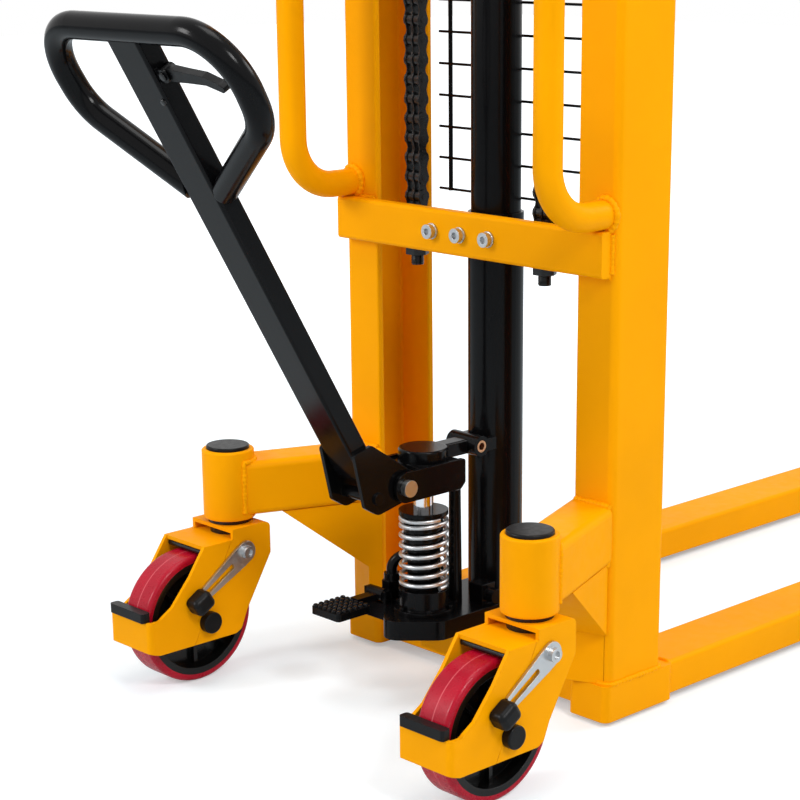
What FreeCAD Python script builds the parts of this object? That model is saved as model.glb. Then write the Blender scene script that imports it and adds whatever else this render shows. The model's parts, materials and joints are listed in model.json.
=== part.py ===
import FreeCAD, Part
import math
import os

# Hand pallet stacker: two channel masts on fork-over legs, a foot-and-hand pump unit with a sprung
# plunger, a chain-raised fork carriage and two braked swivel casters under splayed rear arms.
# Millimetres. While it is built, y = 0 is the rear face of the masts and z = 0 is the floor.

V = FreeCAD.Vector

# Shared values
overrun = 5.0
running_gap = 0.05
seat_gap = 0.3
round_share = 0.6
near_round_share = 0.95

# Masts and cross bars
mast_gauge = 500.0
mast_depth = 105.0
mast_flange = 65.0
mast_web = 9.0
mast_lip = 10.0
mast_corner = 10.0
mast_root = 4.0
mast_edge = 3.0
mast_top = 1980.0
bar_height = 57.5
bar_depth = 20.5
bar_inset = 7.0
bar_corner = 5.0
lower_bar_z = 589.5
upper_bar_drop = 75.0
screw_pitch = 52.0
screw_offset = -3.0
screw_head_radius = 9.5
screw_head_length = 11.0
screw_socket_radius = 4.5
screw_socket_depth = 5.0
screw_radius = 6.0
screw_washer_radius = 10.5
screw_washer_length = 2.5

# Push handles
handle_radius = 18.0
handle_wall = 3.0
handle_inset = 18.0
handle_reach = 106.0
handle_bend = 66.0
handle_rise = 560.0
handle_clear = 1.0

# Base and legs
leg_top = 56.0
leg_width = 89.0
leg_height = 46.0
leg_wall = 6.0
leg_corner = 6.0
leg_outset = 5.0
leg_end = 1225.0
leg_pocket_length = 130.0
leg_pocket_wall = 4.0
foot_height = 50.0
foot_width = 68.0
foot_overhang = 3.0
foot_rear = 8.0
foot_front = 23.0
foot_corner = 10.0
foot_wall = 8.0
cross_height = 40.0
cross_inset = 4.0
cross_wall = 6.0
shelf_half = 46.0
shelf_rear = 60.0
shelf_front = 95.0
shelf_height = 42.0
shelf_wall = 6.0
shelf_top_wall = 8.0
shelf_corner = 8.0

# Load rollers in the leg tips
leg_roller_radius = 36.0
leg_roller_width = 69.0
leg_roller_setback = 60.0
leg_roller_crown = 4.0
leg_axle_radius = 8.0
leg_slot_clear = 5.0

# Rear arms, caster housings and gussets
caster_x = 288.0
caster_y = -190.0
arm_width = 68.0
arm_height = 76.0
arm_wall = 5.0
arm_corner = 10.0
arm_drop = 16.0
arm_inset = 36.0
housing_radius = 36.0
housing_rise = 159.5
housing_height = 97.5
housing_edge = 3.0
cap_radius = 29.5
cap_seat = 6.0
cap_rise = 5.0
cap_edge = 2.0
gusset_width = 58.0
gusset_wall = 5.0
gusset_run = 136.0
gusset_toe = 10.0
gusset_toe_rise = 68.0

# Casters
wheel_radius = 90.0
wheel_width = 50.0
tyre_depth = 9.5
tyre_round = 6.0
caster_trail = 78.0
caster_clear = 5.5
fork_half = 45.0
fork_wall = 5.5
fork_front = 34.0
fork_rear = 31.0
fork_shoulder = 45.0
fork_foot_front = 47.0
fork_foot_drop = 29.0
fork_foot_step = 10.0
fork_corner = 8.0
slit_top = 34.0
slit_foot = 24.0
slit_gap = 0.6
step_drop = 14.0
bumper_reach = 177.0
bumper_height = 43.0
bumper_rise = 24.0
bumper_corner = 8.0
frame_top_reach = 80.0
frame_tongue = 20.0
stem_radius = 14.0
stem_flange = 30.0
stem_disc = 28.0
stem_rise = 92.0
caster_axle_radius = 6.0
axle_cap_radius = 15.0
axle_cap_length = 12.0
axle_cap_edge = 2.5
axle_nut_radius = 11.0
axle_nut_length = 23.0
cross_rod_radius = 4.3
cross_rod_lift = 0.9
cross_rod_back = 4.0
pad_length = 14.0
pad_width = 74.0
pad_thick = 13.0
pad_overhang = 5.0
pad_corner = 4.0
hub_half = 39.0
hub_radius = 22.0
hub_web = 8.0
hub_rim_depth = 9.0
hub_rib_count = 8
hub_rib_thick = 6.0
lever_pivot_rise = 86.0
lever_pivot_fore = 66.0
lever_thick = 4.0
lever_gap = 1.0
lever_reach = 100.0
lever_droop = 31.5
lever_head_radius = 15.0
lever_prong_width = 5.5
lever_prong_gap = 8.0
lever_neck = 27.0
lever_bolt_radius = 5.0
lever_bolt_head = 9.0
lever_bolt_head_length = 7.0
knob_radius = 13.0
knob_length = 32.0
knob_thick = 22.0
knob_round = 8.0

# Lift cylinder, ram and chain
cylinder_y = 43.0
cylinder_radius = 33.0
cylinder_wall = 6.0
cylinder_top = 1050.0
cylinder_floor = 10.0
gland_radius = 37.0
gland_height = 30.0
ram_radius = 22.5
ram_length = 900.0
reservoir_radius = 37.0
reservoir_wall = 3.7
reservoir_height = 520.0
chain_x = 118.0
chain_y = 12.0
chain_half_width = 15.0
chain_half_depth = 10.0
chain_plate = 3.2
chain_pitch = 25.4
chain_bar = 15.0
chain_rib = 3.2
anchor_radius = 8.0
anchor_tail = 26.0
anchor_nut_radius = 16.0
anchor_nut_height = 12.0
anchor_collar = 11.0
anchor_collar_height = 4.0
anchor_block_height = 14.0
lug_half = 20.0
lug_reach = 26.0
lug_thick = 12.0
sheave_flange = 4.0
sheave_half_width = 19.0
sheave_axle_radius = 10.0
sheave_lowered = 1130.0
crosshead_half = 95.0
crosshead_depth = 46.0
crosshead_below = 36.0
crosshead_above = 20.0
crosshead_corner = 8.0
retainer_radius = 17.0
retainer_length = 5.0

# Carriage and forks
fork_height = 1100.0
fork_lowered = 88.0
load_fork_length = 1100.0
load_fork_width = 160.0
load_fork_depth = 60.0
load_fork_wall = 6.0
load_fork_corner = 6.0
load_fork_tip_depth = 16.0
load_fork_tip_length = 150.0
load_fork_tip_round = 25.0
heel_height = 120.0
heel_thick = 12.0
heel_web_length = 150.0
heel_web_thick = 10.0
heel_web_inset = 15.0
carriage_plate = 16.0
carriage_plate_gap = 11.0
carriage_plate_rear = 25.0
carriage_gap = 19.0
carriage_drop = 18.0
carriage_rise = 380.0
carriage_bar_thick = 16.0
carriage_bar_height = 88.0
carriage_top_bar_height = 70.0
carriage_top_bar_inset = 20.0
carriage_post_width = 30.0
carriage_post_inset = 4.0
carriage_corner = 6.0
lug_height = 12.0
carriage_lug_drop = 4.0
carriage_lug_reach = 16.0
carriage_lug_depth = 21.0
roller_radius = 42.0
roller_width = 36.0
roller_pin_radius = 14.0
roller_pin_head = 20.0
roller_pin_head_length = 6.0
roller_web_gap = 9.0
roller_low = 28.0
roller_high = 340.0
roller_edge = 2.0

# Wire guard
mesh_y = 92.0
mesh_half = 135.0
mesh_reach = 154.0
mesh_bottom = 654.0
mesh_height = 1246.0
mesh_pitch = 42.0
mesh_border_radius = 4.0
mesh_wire_radius = 2.4
mesh_inner = 60.0
mesh_inner_step = 48.0
mesh_hook_drop = 32.0
mesh_clamp_height = 20.0
mesh_clamp_low = 700.0
mesh_clamp_high = 1010.0

# Pump base, barrel and plunger
pump_y = -92.0
pump_base_half = 55.0
pump_base_rear = 158.0
pump_base_front = 84.0
pump_base_chamfer = 46.0
pump_base_nose = 24.0
pump_base_height = 26.0
pump_base_edge = 4.0
pump_base_round = 20.0
cup_radius = 34.0
cup_height = 32.0
cup_flange_radius = 41.0
cup_flange_height = 6.0
barrel_radius = 22.0
barrel_height = 56.0
plunger_radius = 13.0
plunger_length = 154.7
plunger_dome = 16.0
post_y = -34.0
post_foot = 9.5
post_head = 8.0
post_height = 156.0
relief_x = 32.0
relief_y = -14.0
relief_half = 12.0
relief_height = 28.0
relief_radius = 8.0
relief_reach = 16.0
relief_cap_radius = 10.0
relief_cap_length = 12.0
spring_wire = 6.4
spring_radius = 30.3
spring_height = 102.0
spring_turns = 8
spring_end_gap = 0.6
spring_collar_radius = 33.0
spring_collar_height = 6.0
skirt_gap = 0.8
skirt_length = 44.0

# Release pedal and oil pipe
ear_x = -72.0
ear_half = 21.0
ear_front = 22.0
ear_rear = 25.0
ear_drop = 23.0
ear_post = 6.0
ear_post_rise = 17.0
pedal_pin_back = 18.0
pedal_pin_rise = 10.0
pedal_pin_radius = 5.0
pedal_boss_radius = 9.0
pedal_arm_half = 8.0
pedal_arm_thick = 9.0
pedal_pad_half = 28.0
pedal_pad_length = 58.0
pedal_pad_thick = 10.0
pedal_pad_drop = 6.0
pedal_reach = 38.0
pedal_corner = 5.0
pipe_y = -84.0
pipe_radius = 7.5
pipe_nut_radius = 14.0
pipe_nut_height = 24.0
pipe_collar_radius = 11.0
pipe_collar_height = 10.0
pipe_rise = 24.0
pipe_bend = 20.0
pipe_aim_x = -28.0
pipe_aim_y = -38.0

# Rocker and tiller
pivot_y = -10.0
pivot_z = 339.0
pivot_pin_radius = 8.0
pivot_bush_radius = 5.0
eye_radius = 14.0
eye_half = 18.5
lug_gap = 0.5
lug_wall = 8.0
rocker_half = 42.0
rocker_wall = 6.0
rocker_rear = 168.0
rocker_front = 45.0
rocker_top = 5.0
rocker_bottom = 45.0
rocker_tail = 18.0
rocker_corner = 4.0
press_depth = 14.0
press_thick = 6.0
press_front = 45.0
press_rear = 115.0
disc_radius = 33.0
disc_top = 10.0
disc_edge = 3.0
arm_half = 12.0
arm_top = 9.0
arm_bottom = 11.0
tiller_y = -216.0
tiller_z = 351.0
tiller_lean = 30.0
tiller_width = 56.0
tiller_thick = 28.0
tiller_wall = 3.0
tiller_corner = 4.0
tiller_foot = 14.0
socket_wall = 6.0
socket_bolt_y = -160.0
socket_bolt_z = 314.0
socket_pin_y = -203.0
socket_pin_z = 306.0
socket_nose = 17.0
socket_heel = 22.0
socket_crown = 15.0
socket_pin_head = 3.0
rocker_bolt_radius = 8.0
bolt_head_radius = 11.0
bolt_head_length = 8.0
grip_radius = 16.0
grip_wall = 3.0
grip_top = 632.0
grip_shoulder = 171.0
grip_waist = 164.0
grip_waist_t = 520.0
grip_join = 420.0
grip_bend = 68.0
grip_waist_bend = 60.0
trigger_t = 578.0
trigger_length = 95.0
trigger_thick = 10.0
trigger_round = 3.0
trigger_boss = 8.5
trigger_lug = 3.0
trigger_pin_radius = 4.0
trigger_shares = ((0, -0.08), (0.21, -0.09), (0.38, -0.09), (0.69, -0.1), (0.88, -0.16), (0.97, -0.19),
                  (1, -0.13),
                  (0.93, -0.07), (0.69, 0.02), (0.38, 0.05), (0.13, 0.08), (0, 0.08))

# Worked-out places
mast_half = mast_gauge/2
carriage_top_bar_half = mast_half - carriage_top_bar_inset
mast_tip_x = mast_half - mast_flange
bar_half = mast_half - bar_inset
upper_bar_z = mast_top - upper_bar_drop
leg_outer = mast_half - leg_outset
leg_inner = leg_outer - leg_width
leg_middle = leg_outer - leg_width/2
foot_outer = mast_half + foot_overhang
foot_inner = foot_outer - foot_width
foot_end = mast_depth + foot_front
leg_roller_y = leg_end - leg_roller_setback
housing_z = leg_top + housing_rise
housing_top = housing_z + housing_height
arm_top_z = housing_top - arm_drop
arm_bottom_z = arm_top_z - arm_height
arm_mast_x = mast_half - arm_inset
arm_angle = math.atan2(caster_x - arm_mast_x, -caster_y)
arm_length = math.hypot(caster_x - arm_mast_x, caster_y)
caster_top = housing_z - caster_clear
pump_base_z = leg_top + shelf_height
pump_top_z = pump_base_z + pump_base_height
cup_top_z = pump_top_z + cup_height
collar_z = cup_top_z + spring_height
ram_travel = (fork_height - fork_lowered)/2
sheave_z = sheave_lowered + ram_travel
sheave_radius = cylinder_y - chain_y
front_chain_y = cylinder_y + sheave_radius
anchor_seat = lower_bar_z + lug_thick
chain_start = anchor_seat + anchor_collar_height + anchor_block_height
plate_outer = mast_tip_x - carriage_plate_gap
plate_inner = plate_outer - carriage_plate
carriage_y = mast_depth + carriage_gap
carriage_front = carriage_y + carriage_bar_thick
fork_tip_y = carriage_front + load_fork_length
lug_base = fork_height - carriage_lug_drop
fork_outer = leg_middle + load_fork_width/2
fork_inner = leg_middle - load_fork_width/2
trigger_x = tiller_width/2 + trigger_boss + lug_gap
lean = math.radians(tiller_lean)
tiller_up = V(0, -math.sin(lean), math.cos(lean))
tiller_across = V(0, math.cos(lean), math.sin(lean))
tiller_origin = V(0, tiller_y, tiller_z)
grip_rear_y = tiller_y - grip_top*math.sin(lean) - grip_radius
y_middle = (fork_tip_y + grip_rear_y)/2


def block(low, high):
    """Box between two opposite corners."""
    size = V(*high) - V(*low)
    return Part.makeBox(size.x, size.y, size.z, V(*low))


def rod(radius, start, end):
    """Round bar between two points."""
    way = V(*end) - V(*start)
    return Part.makeCylinder(radius, way.Length, V(*start), way)


def sleeve(outer, inner, start, end):
    """Round tube between two points."""
    way = V(*end) - V(*start)
    step = V(way).normalize()*overrun
    return rod(outer, start, end).cut(rod(inner, V(*start) - step, V(*end) + step))


def rounded_wire(points, radii):
    """Closed outline through points, each corner rounded by its own radius."""
    count = len(points)
    arcs = []
    for i in range(count):
        corner = points[i]
        back = (points[i - 1] - corner).normalize()
        ahead = (points[(i + 1) % count] - corner).normalize()
        if radii[i] == 0:
            arcs.append((corner, corner, corner))
            continue
        half = math.acos(max(-1, min(1, back.dot(ahead))))/2
        along = radii[i]/math.tan(half)
        middle = (back + ahead).normalize()
        bulge = middle*(radii[i]/math.sin(half) - radii[i])
        arcs.append((corner + back*along, corner + bulge, corner + ahead*along))
    edges = []
    for i in range(count):
        start, middle, end = arcs[i]
        if radii[i]:
            edges.append(Part.Arc(start, middle, end).toShape())
        following = arcs[(i + 1) % count][0]
        if end.distanceToPoint(following) > overrun/1e6:
            edges.append(Part.LineSegment(end, following).toShape())
    return Part.Wire(edges)


def slab(points, plane, low, high, radii=0):
    """Solid of constant section: an outline in the plane across axis x, y or z, drawn out along it."""
    if not isinstance(radii, (list, tuple)):
        radii = [radii]*len(points)
    place = {"x": lambda a, b: V(low, a, b), "y": lambda a, b: V(a, low, b), "z": lambda a, b: V(a, b, low)}
    way = {"x": V(high - low, 0, 0), "y": V(0, high - low, 0), "z": V(0, 0, high - low)}
    wire = rounded_wire([place[plane](a, b) for a, b in points], radii)
    return Part.Face(wire).extrude(way[plane])


def rectangle(low_a, high_a, low_b, high_b):
    """Corner points of a rectangle, in order."""
    return [(low_a, low_b), (high_a, low_b), (high_a, high_b), (low_a, high_b)]


def hexagon(radius, start, end):
    """Six-sided bar between two points on a line along z."""
    corners = [V(radius*math.cos(math.radians(60*i)), radius*math.sin(math.radians(60*i)), 0) for i in range(6)]
    wire = Part.makePolygon(corners + corners[:1])
    solid = Part.Face(wire).extrude(V(0, 0, (V(*end) - V(*start)).Length))
    solid.translate(V(*start))
    return solid


def bent_path(points, bends):
    """Open path of straight runs joined by tangent arcs, one bend radius for each inner point."""
    edges = []
    last = points[0]
    for i in range(1, len(points) - 1):
        corner = points[i]
        back = (points[i - 1] - corner).normalize()
        ahead = (points[i + 1] - corner).normalize()
        half = math.acos(max(-1, min(1, back.dot(ahead))))/2
        along = bends[i - 1]/math.tan(half)
        middle = (back + ahead).normalize()
        bulge = middle*(bends[i - 1]/math.sin(half) - bends[i - 1])
        edges.append(Part.LineSegment(last, corner + back*along).toShape())
        edges.append(Part.Arc(corner + back*along, corner + bulge, corner + ahead*along).toShape())
        last = corner + ahead*along
    edges.append(Part.LineSegment(last, points[-1]).toShape())
    return Part.Wire(edges)


def bent_rod(points, bends, radius):
    """Round bar along a bent path."""
    path = bent_path(points, bends)
    way = points[1] - points[0]
    section = Part.Wire(Part.Circle(points[0], way, radius).toShape())
    return path.makePipeShell([section], True, False)


def bent_tube(points, bends, radius, wall):
    """Round tube along a bent path."""
    return bent_rod(points, bends, radius).cut(bent_rod(points, bends, radius - wall))


def joined(*shapes):
    """One solid from overlapping or touching pieces of the same piece."""
    first = shapes[0]
    return first.fuse(list(shapes[1:])).removeSplitter()


def mirrored(shape):
    """The same piece for the other side."""
    return shape.mirror(V(0, 0, 0), V(1, 0, 0))


def both_sides(shape):
    """A piece and its mirror image, as two solids."""
    return Part.Compound([shape, mirrored(shape)])


def mast():
    """Right-hand mast channel, open towards the middle."""
    points = rectangle(mast_tip_x, mast_half, 0, mast_depth) + [
        (mast_tip_x, mast_depth - mast_lip),
        (mast_half - mast_web, mast_depth - mast_lip),
        (mast_half - mast_web, mast_lip),
        (mast_tip_x, mast_lip),
    ]
    radii = [mast_edge, mast_corner, mast_corner, mast_edge, mast_edge, mast_root, mast_root, mast_edge]
    return slab(points, "z", leg_top, mast_top, radii)


def screw_places():
    """Places across the lower bar of its three screws."""
    return [screw_offset + screw_pitch*i for i in (-1, 0, 1)]


def cross_bars():
    """Lower bar with the chain lugs and screw holes, and the plain upper bar."""
    section = rectangle(-bar_depth, 0, 0, bar_height)
    lower = slab([(y, lower_bar_z + z) for y, z in section], "x", -bar_half, bar_half, bar_corner)
    upper = slab([(y, upper_bar_z + z) for y, z in section], "x", -bar_half, bar_half, bar_corner)
    for side in (-1, 1):
        middle = side*chain_x
        lug = block((middle - lug_half, -bar_corner, lower_bar_z),
                    (middle + lug_half, lug_reach, lower_bar_z + lug_thick))
        lower = joined(lower, lug)
        hole = rod(anchor_radius + running_gap, (middle, chain_y, lower_bar_z - overrun),
                   (middle, chain_y, lower_bar_z + lug_thick + overrun))
        lower = lower.cut(hole)
    for x in screw_places():
        middle = lower_bar_z + bar_height/2
        hole = rod(screw_radius + running_gap, (x, -bar_depth - overrun, middle), (x, overrun, middle))
        lower = lower.cut(hole)
    return Part.Compound([lower, upper])


def crossbar_screws():
    """Three socket-head screws through the lower bar."""
    screws = []
    middle = lower_bar_z + bar_height/2
    head_end = -bar_depth - screw_head_length
    for x in screw_places():
        head = rod(screw_head_radius, (x, head_end, middle), (x, -bar_depth, middle))
        washer = rod(screw_washer_radius, (x, -bar_depth - screw_washer_length, middle),
                     (x, -bar_depth, middle))
        socket = rod(screw_socket_radius, (x, head_end - overrun, middle),
                     (x, head_end + screw_socket_depth, middle))
        shank = rod(screw_radius, (x, -bar_depth - running_gap, middle), (x, 0, middle))
        screws.append(joined(head.cut(socket), washer, shank))
    return Part.Compound(screws)


def push_handle():
    """Right-hand push handle, a bent tube standing off the mast."""
    x = mast_half - handle_inset
    low = lower_bar_z + bar_height + handle_clear + handle_radius
    high = low + handle_rise
    points = [V(x, 0, low), V(x, -handle_reach, low), V(x, -handle_reach, high), V(x, 0, high)]
    return bent_tube(points, [handle_bend]*2, handle_radius, handle_wall)


def base_frame():
    """Hollow feet under the masts, the cross member between them and the shelf for the pump."""
    foot = slab(rectangle(foot_inner, foot_outer, -foot_rear, foot_end), "z", leg_top - foot_height, leg_top,
                foot_corner)
    hollow = block((foot_inner + foot_wall, foot_wall - foot_rear, leg_top - foot_height - overrun),
                   (foot_outer - foot_wall, foot_end - foot_wall, leg_top - foot_wall))
    foot = foot.cut(hollow)
    cross = block((-foot_inner - foot_wall/2, cross_inset, leg_top - cross_height),
                  (foot_inner + foot_wall/2, shelf_front + cross_inset, leg_top))
    cross_hollow = block((-foot_inner, cross_inset + cross_wall, leg_top - cross_height - overrun),
                         (foot_inner, shelf_front + cross_inset - cross_wall, leg_top - cross_wall))
    shelf = slab(rectangle(-shelf_half, shelf_half, -shelf_rear, shelf_front), "z", leg_top - cross_wall/2,
                 leg_top + shelf_height, shelf_corner)
    shelf_hollow = block((shelf_wall - shelf_half, shelf_wall - shelf_rear, leg_top - cross_wall - overrun),
                         (shelf_half - shelf_wall, shelf_front - shelf_wall,
                          leg_top + shelf_height - shelf_top_wall))
    return joined(foot, mirrored(foot), cross.cut(cross_hollow), shelf.cut(shelf_hollow))


def support_leg():
    """Right-hand leg: an upturned channel with a wheel pocket and axle pin at its tip."""
    low = leg_top - leg_height
    outer = rectangle(leg_inner, leg_outer, low, leg_top)
    leg = slab(outer, "y", foot_end, leg_end, [0, 0, leg_corner, leg_corner])
    hollow = block((leg_inner + leg_wall, foot_end - overrun, low - overrun),
                   (leg_outer - leg_wall, leg_end - leg_wall, leg_top - leg_wall))
    leg = leg.cut(hollow)
    pocket_start = leg_end - leg_pocket_length
    for low_x, high_x in ((leg_inner - leg_pocket_wall, leg_inner), (leg_outer, leg_outer + leg_pocket_wall)):
        cheek = slab(rectangle(pocket_start, leg_end, low, leg_top), "x", low_x, high_x, leg_corner)
        leg = joined(leg, cheek)
    slot_half = leg_roller_radius + leg_slot_clear
    slot = block((leg_inner + leg_wall, leg_roller_y - slot_half, leg_top - leg_wall - overrun),
                 (leg_outer - leg_wall, leg_roller_y + slot_half, leg_top + overrun))
    pin = rod(leg_axle_radius, (leg_inner - leg_pocket_wall, leg_roller_y, leg_roller_radius),
              (leg_outer + leg_pocket_wall, leg_roller_y, leg_roller_radius))
    return joined(leg.cut(slot), pin)


def leg_roller():
    """Right-hand load roller, crowned at its ends, on the leg's axle pin."""
    half = leg_roller_width/2
    body = rod(leg_roller_radius, (leg_middle - half, leg_roller_y, leg_roller_radius),
               (leg_middle + half, leg_roller_y, leg_roller_radius))
    body = body.makeChamfer(leg_roller_crown, [e for e in body.Edges if e.Closed and len(e.Vertexes) == 1
                                               and abs(e.BoundBox.XLength) < leg_roller_crown])
    bore = rod(leg_axle_radius + running_gap, (leg_middle - half - overrun, leg_roller_y, leg_roller_radius),
               (leg_middle + half + overrun, leg_roller_y, leg_roller_radius))
    return body.cut(bore)


def along_arm(shape):
    """Turn a piece drawn along -y at the mast into the right-hand arm's splayed direction."""
    shape.rotate(V(0, 0, 0), V(0, 0, 1), math.degrees(arm_angle))
    shape.translate(V(arm_mast_x, 0, 0))
    return shape.cut(block((0, 0, 0), (caster_x + arm_length, arm_length, mast_top)))


def housing_rod(radius):
    """Round bar on the right-hand caster's swivel line, as tall as its housing."""
    return rod(radius, (caster_x, caster_y, housing_z), (caster_x, caster_y, housing_top))


def caster_arm():
    """Right-hand square tube arm from the mast to the caster housing."""
    outer = slab(rectangle(-arm_width/2, arm_width/2, arm_bottom_z, arm_top_z), "y", -arm_length, arm_width,
                 arm_corner)
    inner = slab(rectangle(arm_wall - arm_width/2, arm_width/2 - arm_wall, arm_bottom_z + arm_wall,
                           arm_top_z - arm_wall), "y", -arm_length, arm_width, arm_corner - arm_wall)
    return along_arm(outer.cut(inner)).cut(housing_rod(housing_radius))


def arm_gusset():
    """Right-hand boxed gusset that braces the arm against the mast and the foot."""
    toe_z = leg_top + gusset_toe_rise
    points = [(arm_width, leg_top), (-gusset_toe, leg_top), (-gusset_toe, toe_z), (-gusset_run, arm_bottom_z),
              (arm_width, arm_bottom_z)]
    inner = [(arm_width, leg_top - overrun), (gusset_wall - gusset_toe, leg_top - overrun),
             (gusset_wall - gusset_toe, toe_z), (gusset_wall - gusset_run, arm_bottom_z + overrun),
             (arm_width, arm_bottom_z + overrun)]
    half = gusset_width/2
    solid = slab(points, "x", -half, half).cut(slab(inner, "x", gusset_wall - half, half - gusset_wall))
    return along_arm(solid)


def caster_housing():
    """Right-hand upright tube that carries the caster's stem, recessed for its cap."""
    body = housing_rod(housing_radius)
    rims = [e for e in body.Edges if e.Closed and e.BoundBox.ZLength < housing_edge]
    body = body.makeFillet(housing_edge, rims)
    bore = rod(stem_radius + running_gap, (caster_x, caster_y, housing_z - overrun),
               (caster_x, caster_y, housing_top + overrun))
    recess = rod(cap_radius + running_gap, (caster_x, caster_y, housing_top - cap_seat),
                 (caster_x, caster_y, housing_top + overrun))
    return body.cut(bore).cut(recess)


def housing_cap():
    """Right-hand push-in cap of the caster housing."""
    body = rod(cap_radius, (caster_x, caster_y, housing_top - cap_seat),
               (caster_x, caster_y, housing_top + cap_rise))
    rim = [e for e in body.Edges if e.Closed and e.BoundBox.ZMin > housing_top]
    return body.makeFillet(cap_edge, rim)


def fork_profile():
    """Side outline of the caster fork, in y and z about the swivel line."""
    axle_y = -caster_trail
    axle_z = wheel_radius
    foot_z = axle_z - fork_foot_drop
    return [
        (fork_front, caster_top),
        (fork_front, caster_top - fork_shoulder),
        (axle_y + fork_foot_front + fork_foot_step*2, axle_z),
        (axle_y + fork_foot_front + fork_foot_step, foot_z + fork_foot_step/2),
        (axle_y + fork_foot_front, foot_z),
        (axle_y - slit_foot, foot_z),
        (-slit_top, caster_top - step_drop),
        (-fork_rear, caster_top - step_drop + slit_gap),
        (-fork_rear, caster_top),
    ]


def caster_fork():
    """Upper fork of a caster: a folded plate with two cheeks, bored for the stem and the axle."""
    cheeks = slab(fork_profile(), "x", -fork_half, fork_half,
                  [fork_corner, fork_corner, fork_corner, fork_corner, fork_corner, 0, 0, 0, 0])
    hollow = block((fork_wall - fork_half, -bumper_reach, 0),
                   (fork_half - fork_wall, fork_front + overrun, caster_top - fork_wall))
    body = cheeks.cut(hollow)
    bore = rod(stem_radius + running_gap, (0, 0, caster_top - step_drop), (0, 0, caster_top + overrun))
    axle = rod(caster_axle_radius + running_gap, (-fork_half - overrun, -caster_trail, wheel_radius),
               (fork_half + overrun, -caster_trail, wheel_radius))
    bolt_y = lever_pivot_fore - caster_trail
    bolt_z = wheel_radius + lever_pivot_rise
    bolt = rod(lever_bolt_radius + running_gap, (0, bolt_y, bolt_z), (fork_half + overrun, bolt_y, bolt_z))
    return body.cut(bore).cut(axle).cut(bolt)


def brake_frame():
    """Rear frame of a caster, folded round the wheel, with its bumper and the tongue under the fork."""
    axle_z = wheel_radius
    foot_z = axle_z - fork_foot_drop
    step_z = caster_top - step_drop
    low = axle_z - bumper_rise
    high = low + bumper_height
    plan = rectangle(-fork_half, fork_half, -bumper_reach, fork_front)
    strip = slab(plan, "z", foot_z, step_z, [bumper_corner, bumper_corner, 0, 0])
    hollow = slab(rectangle(fork_wall - fork_half, fork_half - fork_wall, fork_wall - bumper_reach,
                            fork_front + overrun),
                  "z", foot_z - overrun, step_z + overrun,
                  [bumper_corner - fork_wall, bumper_corner - fork_wall, 0, 0])
    rise = step_z - high
    run = bumper_reach - frame_top_reach
    shoulder_shares = ((0.175, 0), (0.41, 0.16), (0.73, 0.57))
    points = [(-slit_top - slit_gap, step_z), (-caster_trail - slit_foot - slit_gap, foot_z),
              (bumper_corner*2 - bumper_reach, foot_z), (-bumper_reach, low), (-bumper_reach, high)]
    points += [(run*along - bumper_reach, high + rise*up) for along, up in shoulder_shares]
    points += [(-frame_top_reach, step_z)]
    profile = slab(points, "x", -fork_half, fork_half)
    shell = strip.cut(hollow).common(profile)
    deck = block((-fork_half, -frame_top_reach, step_z - fork_wall),
                 (fork_half, -slit_top - slit_gap*4, step_z))
    tongue_half = fork_half - fork_wall - slit_gap
    tongue = block((-tongue_half, -slit_top - slit_gap*4, step_z - fork_wall),
                   (tongue_half, frame_tongue, step_z))
    deck = deck.common(slab(points, "x", -fork_half, fork_half))
    body = joined(shell, deck, tongue)
    bore = rod(stem_radius + running_gap, (0, 0, step_z - fork_wall - overrun), (0, 0, step_z + overrun))
    return body.cut(bore)


def caster_stem():
    """Turned stem of a caster, with the bearing ring above the fork and the disc between the plates."""
    step_z = caster_top - step_drop
    post = rod(stem_radius, (0, 0, step_z - fork_wall), (0, 0, caster_top + stem_rise))
    ring = rod(stem_flange, (0, 0, caster_top), (0, 0, housing_z - seat_gap))
    disc = rod(stem_disc, (0, 0, step_z), (0, 0, caster_top - fork_wall))
    return joined(post, ring, disc)


def caster_axle():
    """Axle with its nut on the far side, and the cross rod above the wheel."""
    axle = rod(caster_axle_radius, (-fork_half - axle_nut_length/2, -caster_trail, wheel_radius),
               (fork_half + axle_cap_length/2, -caster_trail, wheel_radius))
    nut = hexagon(axle_nut_radius, (0, 0, 0), (0, 0, axle_nut_length))
    nut.rotate(V(0, 0, 0), V(0, 1, 0), -90)
    nut.translate(V(-fork_half, -caster_trail, wheel_radius))
    rod_z = wheel_radius*2 + cross_rod_lift + cross_rod_radius
    rod_y = cross_rod_back - caster_trail
    half = fork_half - fork_wall
    cross = rod(cross_rod_radius, (-half, rod_y, rod_z), (half, rod_y, rod_z))
    return Part.Compound([joined(axle, nut), cross])


def caster_pads():
    """Round cover on the axle and the foot pad on the bumper."""
    cover = rod(axle_cap_radius, (fork_half, -caster_trail, wheel_radius),
                (fork_half + axle_cap_length, -caster_trail, wheel_radius))
    rim = [e for e in cover.Edges if e.Closed and e.BoundBox.XMin > fork_half]
    cover = cover.makeFillet(axle_cap_edge, rim)
    cover = cover.cut(rod(caster_axle_radius + running_gap, (fork_half - overrun, -caster_trail, wheel_radius),
                          (fork_half + axle_cap_length/2, -caster_trail, wheel_radius)))
    low = wheel_radius - bumper_rise + bumper_height
    rear = -bumper_reach - pad_overhang
    pad = slab(rectangle(-pad_width/2, pad_width/2, rear, rear + pad_length), "z", low, low + pad_thick,
               pad_corner)
    return Part.Compound([cover, pad])


def wheel_solid(profile):
    """Body of revolution about the caster's axle, from half-section points (across, radius)."""
    points = [V(across, -caster_trail, wheel_radius + radius) for across, radius in profile]
    face = Part.Face(Part.makePolygon(points + points[:1]))
    return face.revolve(V(0, -caster_trail, wheel_radius), V(1, 0, 0), 360)


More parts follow.
